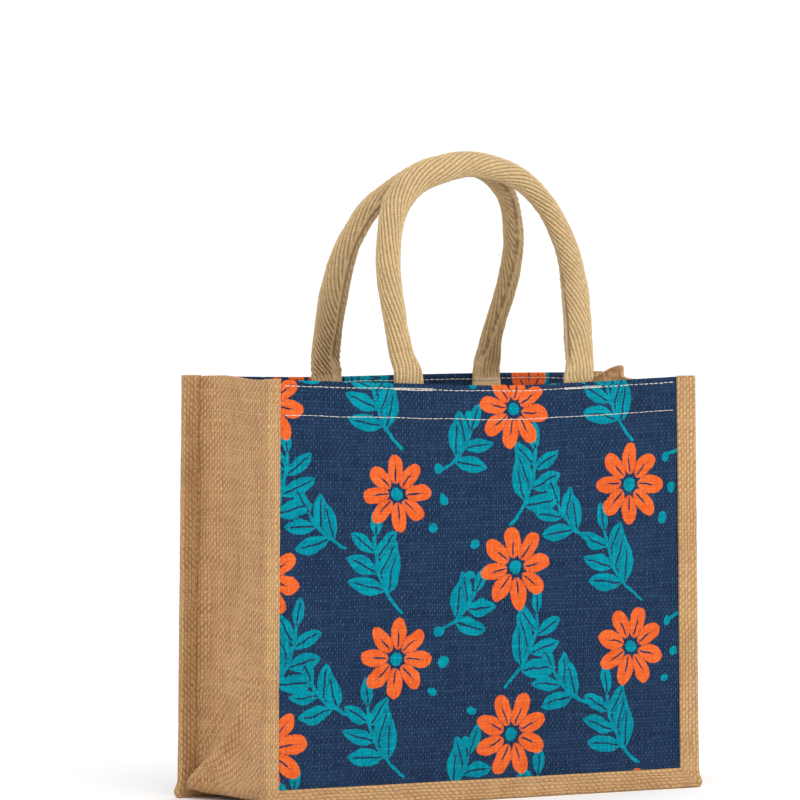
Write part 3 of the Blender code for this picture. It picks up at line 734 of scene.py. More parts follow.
def make_panel(name, node, side, shift):
    edge = HALF_WIDTH + EDGE_IN_TAPE
    x = np.linspace(-edge, edge, round(2 * edge / PRINT_STEP) + 1)[:, None]
    z, turned_by, past_hem = panel_section()
    hem = mix(HEM, CLOTH, smooth((np.abs(x) - HALF_WIDTH + HEM_CLEAR) / 0.0015))
    depth = mix(hem * (1 - np.cos(turned_by)) / 2, CLOTH, past_hem)
    top = z == BAG_HEIGHT
    height = np.where(top, BAG_HEIGHT - hem / 2 * (1 - np.sin(turned_by)), z + 0 * x)
    loops = panel_point(x, depth, height, side)
    along_rim = HEM / 2 * turned_by
    over = turned_by > 0
    v = np.where(top, BAG_HEIGHT + along_rim, np.where(over, 2 * BAG_HEIGHT - z, z))
    v = np.append(v, v[-1] - 0.002)
    flat = np.stack(np.broadcast_arrays(x * -side, v), axis=-1)
    values = printed_fields(flat[:, :-1, 0], flat[:, :-1, 1], shift)
    values["printed"] = np.broadcast_to(np.where(past_hem > 0, 0.0, 1.0), height.shape)
    piece = swept_body(name, loops, flat, values)
    stands_for(piece, node, printed_cloth)
    return piece


# %% Make both panels
panel_front = make_panel("panel_front_cloth", "front_panel", FRONT, shift=(0.020, 0.046))
panel_back = make_panel("panel_back_cloth", "back_panel", BACK, shift=(-0.012, 0.030))

# %% [markdown]
# ## The gusset
# One plain strip makes the left side, the base and the right side. Its long edges are turned
# out into the bound seams, and it is hemmed where it ends at the rim. The strip is drawn in
# between the panels, the base sags a little, and a fold is pinched out at each lower back
# corner, where the cloth has to turn under the bag. That fold follows a crest: steep above it,
# gentle below. Softer folds are straight: a start, an end, a height, a reach and a bell curve.

# %% Tables of the gusset's hang
FLANGE_DEPTH = CLOTH + GAP + CLOTH / 2
BEND = 0.0025  # radius where the strip turns out into a seam
CORNER = 0.005  # radius where a wall turns into the base
BASE_SAG = 0.0098
BASE_CLEAR = 0.0012  # no place of the strip comes nearer the floor than this
HollowRow = namedtuple("HollowRow", "height left right")
HOLLOW = (
    HollowRow(height=0.300, left=-0.0020, right=-0.0035),
    HollowRow(height=0.250, left=-0.0045, right=-0.0060),
    HollowRow(height=0.150, left=-0.0055, right=-0.0070),
    HollowRow(height=0.070, left=-0.0030, right=-0.0030),
    HollowRow(height=0.022, left=0.0030, right=0.0030),
)
CrestRow = namedtuple("CrestRow", "depth height left right")
CREST = (  # where the pinched fold runs on the wall, and how far it stands out on either side
    CrestRow(depth=0.0610, height=0.0100, left=0.0150, right=0.0124),
    CrestRow(depth=0.0400, height=0.0210, left=0.0104, right=0.0084),
    CrestRow(depth=0.0160, height=0.0370, left=0.0078, right=0.0064),
    CrestRow(depth=0.0080, height=0.0470, left=0.0070, right=0.0056),
    CrestRow(depth=0.0000, height=0.0640, left=0.0040, right=0.0032),
    CrestRow(depth=-0.0080, height=0.0850, left=0.0012, right=0.0010),
)
STEEP_REACH = 0.0034
GENTLE_REACH = 0.0075
TUCK = 0.0065  # how far the right wall's rim is bent outwards
TUCK_FROM, TUCK_TO, TUCK_DEEP = 0.004, 0.037, 0.014  # between these depths, and this far down
FOLD_DROP = 0.45  # how far a fold sinks next to a seam, for each metre that it stands out
Fold = namedtuple("Fold", "side depth height end_depth end_height rise reach")
FOLDS = (
    Fold(LEFT, depth=0.052, height=0.075, end_depth=0.050, end_height=0.190, rise=-0.0025, reach=0.0080),
    Fold(LEFT, depth=0.054, height=0.034, end_depth=0.014, end_height=0.070, rise=-0.0050, reach=0.0062),
    Fold(LEFT, depth=0.030, height=0.010, end_depth=-0.036, end_height=0.034, rise=-0.0010, reach=0.0050),
    Fold(LEFT, depth=0.044, height=0.060, end_depth=0.010, end_height=0.110, rise=-0.0008, reach=0.0060),
    Fold(LEFT, depth=-0.030, height=0.270, end_depth=0.046, end_height=0.262, rise=-0.0007, reach=0.0040),
    Fold(RIGHT, depth=0.051, height=0.080, end_depth=0.049, end_height=0.170, rise=-0.0020, reach=0.0080),
    Fold(RIGHT, depth=0.050, height=0.034, end_depth=0.014, end_height=0.066, rise=-0.0034, reach=0.0060),
    Fold(RIGHT, depth=-0.020, height=0.268, end_depth=0.040, end_height=0.274, rise=-0.0008, reach=0.0040),
)
hollow = {name: curve_through(HOLLOW, "height", name) for name in ("left", "right")}
FLANGE_Y = HALF_DEPTH - FLANGE_DEPTH
WALL_Y = FLANGE_Y - BEND
WALL_LENGTH = BAG_HEIGHT - SEAM_HEIGHT - CORNER
CORNER_LENGTH = 0.5 * math.pi * CORNER
BASE_LENGTH = 2 * (HALF_WIDTH - CORNER)
STRIP_LENGTH = 2 * (WALL_LENGTH + CORNER_LENGTH) + BASE_LENGTH


# %% How far the strip stands out
def crest_height(side, y, z):
    """Height of the pinched fold, from how far and on which side of its crest a place is."""
    y, z = np.broadcast_arrays(y, z)
    nearest, off, rise = np.full(y.shape, 1.0), np.zeros(y.shape), np.zeros(y.shape)
    for start, end in zip(CREST, CREST[1:]):
        run_y, run_z = end.depth - start.depth, end.height - start.height
        share = ((y - start.depth) * run_y + (z - start.height) * run_z) / (run_y**2 + run_z**2)
        share = np.clip(share, 0, 1)
        away_y, away_z = y - mix(start.depth, end.depth, share), z - mix(start.height, end.height, share)
        distance = np.hypot(away_y, away_z)
        take = distance < nearest
        nearest = np.where(take, distance, nearest)
        off = np.where(take, np.sign(run_z * away_y - run_y * away_z) * distance, off)
        height = np.where(side < 0, mix(start.left, end.left, share), mix(start.right, end.right, share))
        rise = np.where(take, height, rise)
    reach = np.where(off > 0, STEEP_REACH, GENTLE_REACH)
    return rise * np.exp(-((off / reach) ** 2))


def fold_height(side, y, z):
    height = crest_height(side, y, z)
    for fold in FOLDS:
        run_y, run_z = fold.end_depth - fold.depth, fold.end_height - fold.height
        length = math.hypot(run_y, run_z)
        along = ((y - fold.depth) * run_y + (z - fold.height) * run_z) / length
        off = ((y - fold.depth) * run_z - (z - fold.height) * run_y) / length
        fade = smooth((along + 0.015) / 0.020) * (1 - smooth((along - 0.6 * length) / (0.5 * length)))
        height = height + (side == fold.side) * fold.rise * fade * np.exp(-((off / fold.reach) ** 2))
    return height


def strip_route(run):
    """Place and outward direction of the strip's line, run metres from the rim on the left."""
    mirrored = run > STRIP_LENGTH / 2
    run = np.where(mirrored, STRIP_LENGTH - run, run)
    turn = np.clip((run - WALL_LENGTH) / CORNER, 0, math.pi / 2)
    over_base = np.maximum(run - WALL_LENGTH - CORNER_LENGTH, 0)
    x = -HALF_WIDTH + CORNER * (1 - np.cos(turn)) + over_base
    z = BAG_HEIGHT - np.minimum(run, WALL_LENGTH) - CORNER * np.sin(turn)
    flip = np.where(mirrored, -1, 1)
    side = np.where(over_base > 0, 0, -flip)
    return x * flip, z, -np.cos(turn) * flip, -np.sin(turn), side


def strip_point(run, out, y, normal_out, normal_y, offset):
    """A point of the strip: out and y place it in the section, offset moves it off the cloth."""
    x, z, out_x, out_z, side = strip_route(run)
    wall_side = np.where(run > STRIP_LENGTH / 2, RIGHT, LEFT)
    from_rim = np.minimum(run, STRIP_LENGTH - run)
    level = BAG_HEIGHT - from_rim  # goes on falling where the strip turns under
    middle = np.clip(1 - (y / WALL_Y) ** 2, 0, 1)
    on_wall = np.abs(y) < WALL_Y - 1e-6
    hollow_out = np.where(wall_side < 0, hollow["left"](z), hollow["right"](z))
    hollow_out = hollow_out * np.clip(1.4 * middle, 0, 1)
    sag = BASE_SAG * np.clip(2 * middle, 0, 1)
    extra = mix(hollow_out, sag, np.where(side == 0, 1.0, smooth(-out_z)))
    extra = extra + ripple(y + 0.4, run, 80) * 1.3 * smooth((WALL_Y - np.abs(y)) / 0.010)
    away = out + np.where(on_wall, extra, 0) + normal_out * offset
    # folds stand out sideways, and drop where they come near a seam low down
    folded = fold_height(wall_side, y, level)
    fade = 1 - smooth((from_rim - WALL_LENGTH - CORNER_LENGTH) / 0.012)
    folded = folded * np.clip(8 * middle, 0, 1) * fade
    tuck = smooth((y - TUCK_FROM) / 0.014) * smooth((TUCK_TO - y) / 0.012)
    tuck = tuck * smooth((TUCK_DEEP - from_rim) / 0.012)
    folded = folded + np.where(wall_side > 0, TUCK * tuck, 0)
    folded = np.where(on_wall, folded, 0)
    near_seam, low = np.clip(1 - 2 * middle, 0, 1), smooth((0.03 - level) / 0.02)
    drop = FOLD_DROP * np.maximum(folded, 0) * near_seam * low
    new_z = np.maximum(z + out_z * away - drop, BASE_CLEAR + CLOTH / 2 + offset)
    flat = np.broadcast_arrays(x + out_x * away + wall_side * folded, y + normal_y * offset, new_z)
    return settle(np.stack(flat, axis=-1))


# %% Sweep the strip
STRIP_STEP = 0.0024
UNDER = 0.0008  # how far the weave is shifted on the strip's inner face


def strip_section():
    """Places across the strip: out, y, normal and the flat distance from its middle."""
    turn = np.linspace(0, math.pi / 2, 5)
    wall = np.linspace(-WALL_Y, WALL_Y, round(2 * WALL_Y / STRIP_STEP) + 1)[1:-1]
    flange = np.linspace(EDGE_IN_TAPE, BEND, 5)[:-1]
    out = np.concatenate([flange, BEND * (1 - np.sin(turn))])
    y = np.concatenate([0 * flange, BEND * (1 - np.cos(turn))]) - FLANGE_Y
    normal_out = np.concatenate([0 * flange, np.sin(turn)])
    normal_y = np.concatenate([0 * flange + 1, np.cos(turn)])
    out = np.concatenate([out, 0 * wall, out[::-1]])
    y = np.concatenate([y, wall, -y[::-1]])
    normal_out = np.concatenate([normal_out, 0 * wall + 1, normal_out[::-1]])
    normal_y = np.concatenate([normal_y, 0 * wall, -normal_y[::-1]])
    flat = np.concatenate([[0], np.cumsum(np.hypot(np.diff(out), np.diff(y)))])
    return out, y, normal_out, normal_y, flat - flat[-1] / 2


def lengths_along(points, axis):
    """Distances along the rows or the columns of a grid of points."""
    steps = np.linalg.norm(np.diff(points, axis=axis), axis=-1)
    start = np.zeros_like(np.take(steps, [0], axis=axis))
    return np.concatenate([start, np.cumsum(steps, axis=axis)], axis=axis)


def make_gusset():
    out, y, normal_out, normal_y, flat_across = strip_section()
    start = HEM / 2 * (1 - np.cos(np.linspace(0, math.pi / 2, 6)))
    hem_end = np.array([HEM_DEPTH - 0.0004, HEM_DEPTH + 0.0002, HEM_DEPTH + 0.0008])
    first = np.concatenate([start, np.arange(HEM, HEM_DEPTH - 0.001, STRIP_STEP), hem_end])
    bare = round((STRIP_LENGTH / 2 - HEM_DEPTH) / STRIP_STEP)
    rest = np.linspace(HEM_DEPTH + 0.003, STRIP_LENGTH / 2, bare)
    half = np.concatenate([first, rest])
    run = np.concatenate([half, STRIP_LENGTH - half[-2::-1]])[:, None]
    from_rim = np.minimum(run, STRIP_LENGTH - run)
    in_hem = (np.abs(y) <= HALF_DEPTH - 0.012) & (from_rim <= HEM_DEPTH)
    thickness = np.where(in_hem, HEM, CLOTH)
    radius = thickness / 2
    level = np.clip(from_rim / radius, 0, 1)
    rounded = radius * (1 - np.sqrt(1 - (1 - level) ** 2))
    outer = strip_point(run, out, y, normal_out, normal_y, CLOTH / 2 - rounded)
    inner = strip_point(run, out, y, normal_out, normal_y, CLOTH / 2 - thickness + rounded)
    loops = np.concatenate([outer, inner[:, ::-1]], axis=1)
    across, along = lengths_along(outer, 1), lengths_along(outer, 0)
    across = across - across[:, [across.shape[1] // 2]]
    across = np.concatenate([across, across[:, ::-1] + UNDER, across[:, :1] - UNDER], axis=1)
    along = np.concatenate([along, along[:, ::-1], along[:, :1]], axis=1)
    flat = np.stack([across, along], axis=-1)
    piece = swept_body("gusset_cloth", loops, flat)
    stands_for(piece, "gusset", plain_jute)
    return piece


gusset_cloth = make_gusset()

# %% [markdown]
# ## The bound seams
# Panel and gusset lie edge on edge and stand out from the bag as a fin. A jute tape is folded
# round the raw edges and sewn through, down one side, along the foot and up the other, with its
# corners folded into a mitre. The tape's section is a long U. Sweeping it along the seam line
# gives the straight parts, and a fan of rows at each corner gives the mitre and its small ear.

# %% Shape of the tape
TAPE_STEP = 0.0011
WING_LAP = 0.0012  # how far the outer wing's edge reaches over the seam line on a neat seam
WING_TIP = 0.0032  # where the inner wing stops, clear of the strip's bend
ROUND = 0.0020
TAPE_OVER_RIM = 0.0006
CORNER_CLEAR = 0.0020  # straight rows stop this far from a corner
PINCH, PINCH_REACH = 0.00030, 0.0014  # how deep the stitches pull the tape in, and how wide
STITCH_FROM_SEAM = 0.0042
TAPE_STITCH = 0.0042  # from one stitch to the next
Lap = namedtuple("Lap", "left foot right")
TAPE_LAP = {  # how far the outer wing reaches over the seam line: sewn by hand, it wanders
    FRONT: Lap(left=-0.0030, foot=0.0010, right=0.0018),
    BACK: Lap(left=0.0012, foot=0.0010, right=0.0004),
}
TAPE_WIDER = {  # and how much further out its fold lies than on a neat seam
    FRONT: Lap(left=0.0, foot=0.0, right=0.0012),
    BACK: Lap(left=0.0014, foot=0.0, right=0.0),
}
SeamRow = namedtuple("SeamRow", "x z out_x out_z ear run corner")
CORNER_FAN = (  # rows round a corner: share downwards, share sideways, share of the ear
    (0.15, 1.0, 0.05), (0.34, 1.0, 0.28), (0.52, 1.0, 0.68), (0.68, 1.0, 1.0),
    (0.82, 1.0, 0.92), (0.93, 1.0, 0.50), (1.0, 0.99, 0.15), (1.0, 0.88, 0.0),
    (1.0, 0.66, 0.0), (1.0, 0.42, 0.0), (1.0, 0.2, 0.0),
)


def seam_line():
    """Places along the seam of one panel: down the left, along the foot and up the right."""
    top = BAG_HEIGHT + TAPE_OVER_RIM
    down = top - SEAM_HEIGHT
    heights = np.linspace(top, SEAM_HEIGHT + CORNER_CLEAR, round(down / TAPE_STEP))
    rows = [SeamRow(-HALF_WIDTH, z, -1.0, 0.0, 0.0, top - z, False) for z in heights]
    for fall, beside, ear in CORNER_FAN:
        run = down + CORNER_CLEAR * (fall - beside)
        rows.append(SeamRow(-HALF_WIDTH, SEAM_HEIGHT, -beside, -fall, ear, run, True))
    across = np.linspace(-HALF_WIDTH + CORNER_CLEAR, 0, round(HALF_WIDTH / TAPE_STEP))
    rows += [SeamRow(x, SEAM_HEIGHT, 0.0, -1.0, 0.0, down + HALF_WIDTH + x, False) for x in across]
    length = 2 * (down + HALF_WIDTH)
    rows += [r._replace(x=-r.x, out_x=-r.out_x, run=length - r.run) for r in reversed(rows[:-1])]
    return rows, length


def tape_section():
    """The U as two lines, outer and inner face: out from the seam, and depth into the bag."""
    face = -GAP - TAPE
    back = 2 * CLOTH + 2 * GAP + TAPE
    turn = np.radians([0, 22, 45, 68, 90])
    front_fold = [(FIN - ROUND + ROUND * math.sin(t), face + ROUND - ROUND * math.cos(t)) for t in turn]
    back_fold = [(FIN - ROUND + ROUND * math.cos(t), back - ROUND + ROUND * math.sin(t)) for t in turn]
    outer = [(-WING_LAP, face + 0.0004), (-WING_LAP + 0.0004, face)]
    outer += [(out, face) for out in (0.0015, 0.0031, 0.0042, 0.0053, 0.0075, 0.0100)]
    outer += front_fold + back_fold
    outer += [(out, back) for out in (0.0100, 0.0075, 0.0058, 0.0048)] + [(WING_TIP, back - 0.0003)]
    fold = FIN - TAPE
    inner = [(WING_TIP, back - TAPE), (0.0070, back - TAPE), (fold - 0.0008, back - TAPE)]
    inner += [(fold, back - TAPE - 0.0008), (fold, 0.0008 - GAP + 0.0002), (fold - 0.0008, -GAP)]
    inner += [(0.0070, -GAP), (0.0030, -GAP), (-WING_LAP, -GAP)]
    return np.array(outer), np.array(inner)


def reach_with_lap(out, depth, lap):
    """The outer wing is stretched or drawn back until its edge laps by this much."""
    stretched = FIN - (FIN - out) * (FIN + lap) / (FIN + WING_LAP)
    return np.where(depth < 0.0005, stretched, out)


def tape_point(row, out, depth, side):
    lap, wider = TAPE_LAP[side], TAPE_WIDER[side]
    beside = reach_with_lap(out, depth, lap.left if row.x < 0 else lap.right)
    beside = beside + np.clip(beside / FIN, 0, 1) * (wider.left if row.x < 0 else wider.right)
    below = reach_with_lap(out, depth, lap.foot)
    side_way, down_way = row.out_x, row.out_z
    if row.corner:  # the wing's edge hardly moves while the fan of rows turns round it
        side_way = np.where(beside < 0, np.sign(row.out_x) * (1.3 - 0.3 * abs(row.out_x)), row.out_x)
        down_way = np.where(below < 0, -(1.3 - 0.3 * abs(row.out_z)), row.out_z)
    ear = row.ear * EAR * np.clip(out / FIN, 0, 1) ** 3
    x = row.x + side_way * beside + np.sign(row.out_x) * ear
    z = row.z + down_way * below
    points = np.stack(np.broadcast_arrays(x, side * (HALF_DEPTH - depth), z), axis=-1)
    return settle(points)


# %% Fold the tapes round the seams
def make_tape(name, node, side):
    rows, length = seam_line()
    outer, inner = tape_section()
    out, depth = np.concatenate([outer, inner]).T
    is_outer = np.arange(len(out)) < len(outer)
    outward = np.where(depth < 0.002, -1, 1) * is_outer
    flat_across = np.concatenate([[0], np.cumsum(np.hypot(np.diff(out), np.diff(depth)))])
    near_stitch = np.exp(-(((out - STITCH_FROM_SEAM) / PINCH_REACH) ** 2))
    loops, flat = [], []
    for row in rows:
        dimple = 0.5 + 0.5 * math.cos(2 * math.pi * row.run / TAPE_STITCH)
        uneven = 0.00022 * hills(row.run + side, out, 0.013, 91)
        uneven = uneven + 0.00016 * hills(row.run, out + side, 0.005, 92)
        away = uneven - PINCH * near_stitch * mix(0.45, 1.0, dimple)
        bare_foot = (out > FIN - ROUND) & (abs(row.out_z) > 0.5)
        away = np.where(bare_foot, np.minimum(away, 0), away) * outward
        loops.append(tape_point(row, out, depth + away, side))
        from_middle = row.run - 0.5 * length
        along = from_middle + 0 * out
        if row.corner:  # the further out in the fan, the longer the way round
            along = along + np.sign(row.x) * out * (abs(row.out_x) - 1)
            along = along - np.sign(row.x) * out * abs(row.out_z)
        along = np.append(along, from_middle)
        flat.append(np.stack([np.append(flat_across, flat_across[-1] + TAPE), along], axis=-1))
    piece = swept_body(name, np.array(loops), np.array(flat))
    stands_for(piece, node, tape_jute)
    return piece


tape_front = make_tape("tape_front_cloth", "front_binding", FRONT)
tape_back = make_tape("tape_back_cloth", "back_binding", BACK)

# %% [markdown]
# ## The handles
# Each handle is a rope core in a sleeve of twill webbing, whose two edges meet in a groove
# along one side. The ends are pressed flat and sewn inside the hem. The route is a curve
# through a few given points, and the section a table from flat tab to round rope. Twill
# shows as slanting ribs, 3 mm apart: coarse enough to see against the light, so they are real
# relief in the mesh. Across the sleeve a rib is a round hill; along the rope it shifts
# sideways, faster where the handle is twisted. Beside the groove runs the webbing's plain edge.

# %% Tables of the handles
TAB_LENGTH = 0.025
TAB_THICKNESS = 0.0046
SectionRow = namedtuple("SectionRow", "run width thickness squareness")
HANDLE_SECTION = (
    SectionRow(run=0.000, width=0.0262, thickness=TAB_THICKNESS, squareness=1.0),
    SectionRow(run=0.026, width=0.0268, thickness=TAB_THICKNESS, squareness=1.0),
    SectionRow(run=0.032, width=0.0258, thickness=0.0070, squareness=0.8),
    SectionRow(run=0.045, width=0.0225, thickness=0.0130, squareness=0.3),
    SectionRow(run=0.062, width=0.0195, thickness=0.0178, squareness=0.0),
    SectionRow(run=0.090, width=0.0190, thickness=0.0188, squareness=0.0),
)
RouteRow = namedtuple("RouteRow", "rise span lean aside")
FRONT_ROUTE = (
    RouteRow(rise=0.003, span=0.0722, lean=0.0000, aside=0.0000),
    RouteRow(rise=0.011, span=0.0738, lean=0.0006, aside=0.0000),
    RouteRow(rise=0.025, span=0.0763, lean=0.0058, aside=0.0000),
    RouteRow(rise=0.061, span=0.0787, lean=0.0137, aside=0.0000),
    RouteRow(rise=0.084, span=0.0781, lean=0.0191, aside=0.0000),
    RouteRow(rise=0.106, span=0.0733, lean=0.0251, aside=0.0000),
    RouteRow(rise=0.127, span=0.0638, lean=0.0316, aside=0.0000),
    RouteRow(rise=0.144, span=0.0465, lean=0.0340, aside=0.0000),
    RouteRow(rise=0.153, span=0.0247, lean=0.0331, aside=0.0000),
    RouteRow(rise=0.157, span=0.0000, lean=0.0330, aside=0.0000),
)
BACK_ROUTE = (
    RouteRow(rise=0.003, span=0.0694, lean=0.0000, aside=0.0000),
    RouteRow(rise=0.012, span=0.0708, lean=0.0004, aside=0.0000),
    RouteRow(rise=0.032, span=0.0716, lean=0.0058, aside=0.0000),
    RouteRow(rise=0.058, span=0.0738, lean=0.0172, aside=0.0000),
    RouteRow(rise=0.082, span=0.0735, lean=0.0279, aside=0.0000),
    RouteRow(rise=0.102, span=0.0700, lean=0.0372, aside=0.0000),
    RouteRow(rise=0.124, span=0.0600, lean=0.0472, aside=0.0008),
    RouteRow(rise=0.139, span=0.0458, lean=0.0562, aside=0.0024),
    RouteRow(rise=0.152, span=0.0250, lean=0.0598, aside=0.0036),
    RouteRow(rise=0.156, span=0.0000, lean=0.0598, aside=0.0036),
)
WidthRow = namedtuple("WidthRow", "share front back")
HANDLE_WIDTH = (
    WidthRow(share=0.00, front=1.00, back=1.00),
    WidthRow(share=0.07, front=0.80, back=0.90),
    WidthRow(share=0.13, front=0.81, back=1.06),
    WidthRow(share=0.20, front=0.86, back=1.06),
    WidthRow(share=0.28, front=0.88, back=0.86),
    WidthRow(share=0.37, front=1.05, back=0.74),
    WidthRow(share=0.50, front=0.96, back=0.70),
    WidthRow(share=0.63, front=0.80, back=0.69),
    WidthRow(share=0.72, front=0.85, back=0.73),
    WidthRow(share=0.80, front=1.01, back=0.75),
    WidthRow(share=0.87, front=1.04, back=0.72),
    WidthRow(share=0.93, front=0.88, back=0.82),
    WidthRow(share=1.00, front=1.00, back=1.00),
)
TwillRow = namedtuple("TwillRow", "share front_slant back_slant front_groove back_groove")
TWILL = (  # slant of the ribs to the rope, and where round the rope the groove runs, in degrees
    TwillRow(share=0.00, front_slant=4, back_slant=20, front_groove=62, back_groove=-74),
    TwillRow(share=0.14, front_slant=11, back_slant=27, front_groove=60, back_groove=-76),
    TwillRow(share=0.30, front_slant=9, back_slant=22, front_groove=58, back_groove=-76),
    TwillRow(share=0.38, front_slant=15, back_slant=23, front_groove=55, back_groove=-76),
    TwillRow(share=0.46, front_slant=28, back_slant=25, front_groove=50, back_groove=-76),
    TwillRow(share=0.53, front_slant=26, back_slant=28, front_groove=45, back_groove=-77),
    TwillRow(share=0.62, front_slant=17, back_slant=30, front_groove=38, back_groove=-78),
    TwillRow(share=0.74, front_slant=22, back_slant=26, front_groove=20, back_groove=-68),
    TwillRow(share=0.86, front_slant=26, back_slant=10, front_groove=-8, back_groove=-52),
    TwillRow(share=1.00, front_slant=22, back_slant=2, front_groove=-12, back_groove=-38),
)
FRONT_HANDLE_OFFSET = 0.010
BACK_HANDLE_OFFSET = 0.005
RIB_PITCH = 0.0029
RIB_RELIEF = 0.00128
WIDE_EDGE = 0.0032  # the webbing's two plain edges, one mostly hidden under the other
NARROW_EDGE = 0.0010
LACING = 0.0050  # about how far apart the groove's crossings lie where it gapes
ROPE_STEP = 0.0010
ROPE_PLACES = 168
ROUND_PLACES = 481  # to measure the way round the rope finely before it is shared out evenly
TANGENT_REACH = 6  # steps each way, so that the sleeve doesn't follow each small wiggle
SQUARE_POWER = 0.35  # turns a round section into a flat tab with soft corners


# %% The rope's route
def handle_route(route, side, offset):
    """The given points, from one sewn tab over the top to the other."""
    tab_y = HALF_DEPTH - HEM - GAP - TAB_THICKNESS / 2
    legs = {}
    for leg in (LEFT, RIGHT):
        foot_x = offset + leg * route[0].span
        sewn = [(foot_x, side * tab_y, BAG_HEIGHT - TAB_LENGTH * part) for part in (1.0, 0.5)]
        free = [
            (offset + r.aside + leg * r.span, side * (tab_y - r.lean), BAG_HEIGHT + r.rise) for r in route
        ]
        legs[leg] = sewn + free
    return np.array(legs[LEFT] + legs[RIGHT][-2::-1])


def smooth_line(points, step):
    """Even steps along the smooth curve through the points."""
    at = np.linspace(0, len(points) - 1, 60 * (len(points) - 1) + 1)
    i = np.minimum(at.astype(int), len(points) - 2)
    t = (at - i)[:, None]
    before, start = points[np.maximum(i - 1, 0)], points[i]
    end, after = points[i + 1], points[np.minimum(i + 2, len(points) - 1)]
    fine = (2 * t**3 - 3 * t**2 + 1) * start + (t**3 - 2 * t**2 + t) * (end - before) / 2
    fine += (3 * t**2 - 2 * t**3) * end + (t**3 - t**2) * (after - start) / 2
    runs = lengths_along(fine, 0)
    wanted = np.linspace(0, runs[-1], round(runs[-1] / step) + 1)
    return wanted, np.stack([np.interp(wanted, runs, fine[:, k]) for k in range(3)], axis=-1)


# %% The sleeve round it
def unit(vectors):
    return vectors / np.linalg.norm(vectors, axis=-1, keepdims=True)


Sleeve = namedtuple("Sleeve", "loops run from_end around girth slant moved")


def sleeve(route, side, offset):
    """The smooth rope: loops of points, even round the rope, and the sleeve's own coordinates."""
    runs, line = smooth_line(handle_route(route, side, offset), ROPE_STEP)
    column = "front" if side == FRONT else "back"
    share = runs / runs[-1]
    from_end = np.minimum(runs, runs[-1] - runs)
    section = {name: curve_through(HANDLE_SECTION, "run", name)(from_end)[:, None]
               for name in ("width", "thickness", "squareness")}
    wider = curve_through(HANDLE_WIDTH, "share", column)(share)[:, None]
    width = section["width"] * wider
    thickness = section["thickness"] * mix(mix(1, wider, 0.5), 1, section["squareness"])
    ahead = np.minimum(np.arange(len(line)) + TANGENT_REACH, len(line) - 1)
    behind = np.maximum(np.arange(len(line)) - TANGENT_REACH, 0)
    tangent = unit(line[ahead] - line[behind])
    across = unit(np.cross([0.0, 1.0, 0.0], tangent))
    through = np.cross(tangent, across)
    groove = np.radians(curve_through(TWILL, "share", column + "_groove")(share))[:, None]
    angle = groove + np.linspace(0, 2 * math.pi, ROUND_PLACES)[None, :]
    power = mix(1.0, SQUARE_POWER, section["squareness"])
    a = np.sign(np.cos(angle)) * np.abs(np.cos(angle)) ** power * width / 2
    b = np.sign(np.sin(angle)) * np.abs(np.sin(angle)) ** power * thickness / 2
    far = lengths_along(np.stack([a, b], axis=-1), 1)
    girth = far[:, -1:]
    around = girth * (np.arange(ROPE_PLACES) / ROPE_PLACES)
    a = np.stack([np.interp(*row) for row in zip(around, far, a)])
    b = np.stack([np.interp(*row) for row in zip(around, far, b)])
    loops = settle(line[:, None] + across[:, None] * a[..., None] + through[:, None] * b[..., None])
    slant = np.radians(curve_through(TWILL, "share", column + "_slant")(share))[:, None]
    moved = np.cumsum(np.sin(slant[:, 0]) * np.gradient(runs))[:, None]
    return Sleeve(loops, runs[:, None], from_end[:, None], around, girth, slant, moved)


def rib_height(place):
    """Round ribs with valleys between them, from 0 to 1."""
    return np.abs(np.sin(math.pi * place / RIB_PITCH)) ** 1.3


# %% Ribs, groove and pleats in the mesh
GROOVE_WIDTH, GROOVE_DEPTH = 0.0017, 0.0016
TAB_GROOVE_DEPTH = 0.0002
GAPING_WIDTH = 0.0023
GAPE_FROM = 0.52  # share of the back handle from which its groove gapes
EDGE_EASE = 0.0010
EDGE_RELIEF = 0.00015
PLEAT, PLEAT_LENGTH = 0.00030, 0.0060  # gathers where the rope flattens into the tab


def groove_gape(rope, to_groove, side):
    """How far the groove gapes there, and how open it is between the edges that cross it."""
    laced = smooth((rope.run / rope.run[-1] - GAPE_FROM) / 0.10) * (side == BACK)
    beyond = np.where(rope.around < rope.girth / 2, to_groove, -to_groove)
    lacing = smooth(0.5 + 0.9 * hills(rope.run + 0.7 * beyond, 0 * beyond, LACING / 2, 75))
    return laced, mix(1.0, mix(0.60, 1.0, lacing), laced)


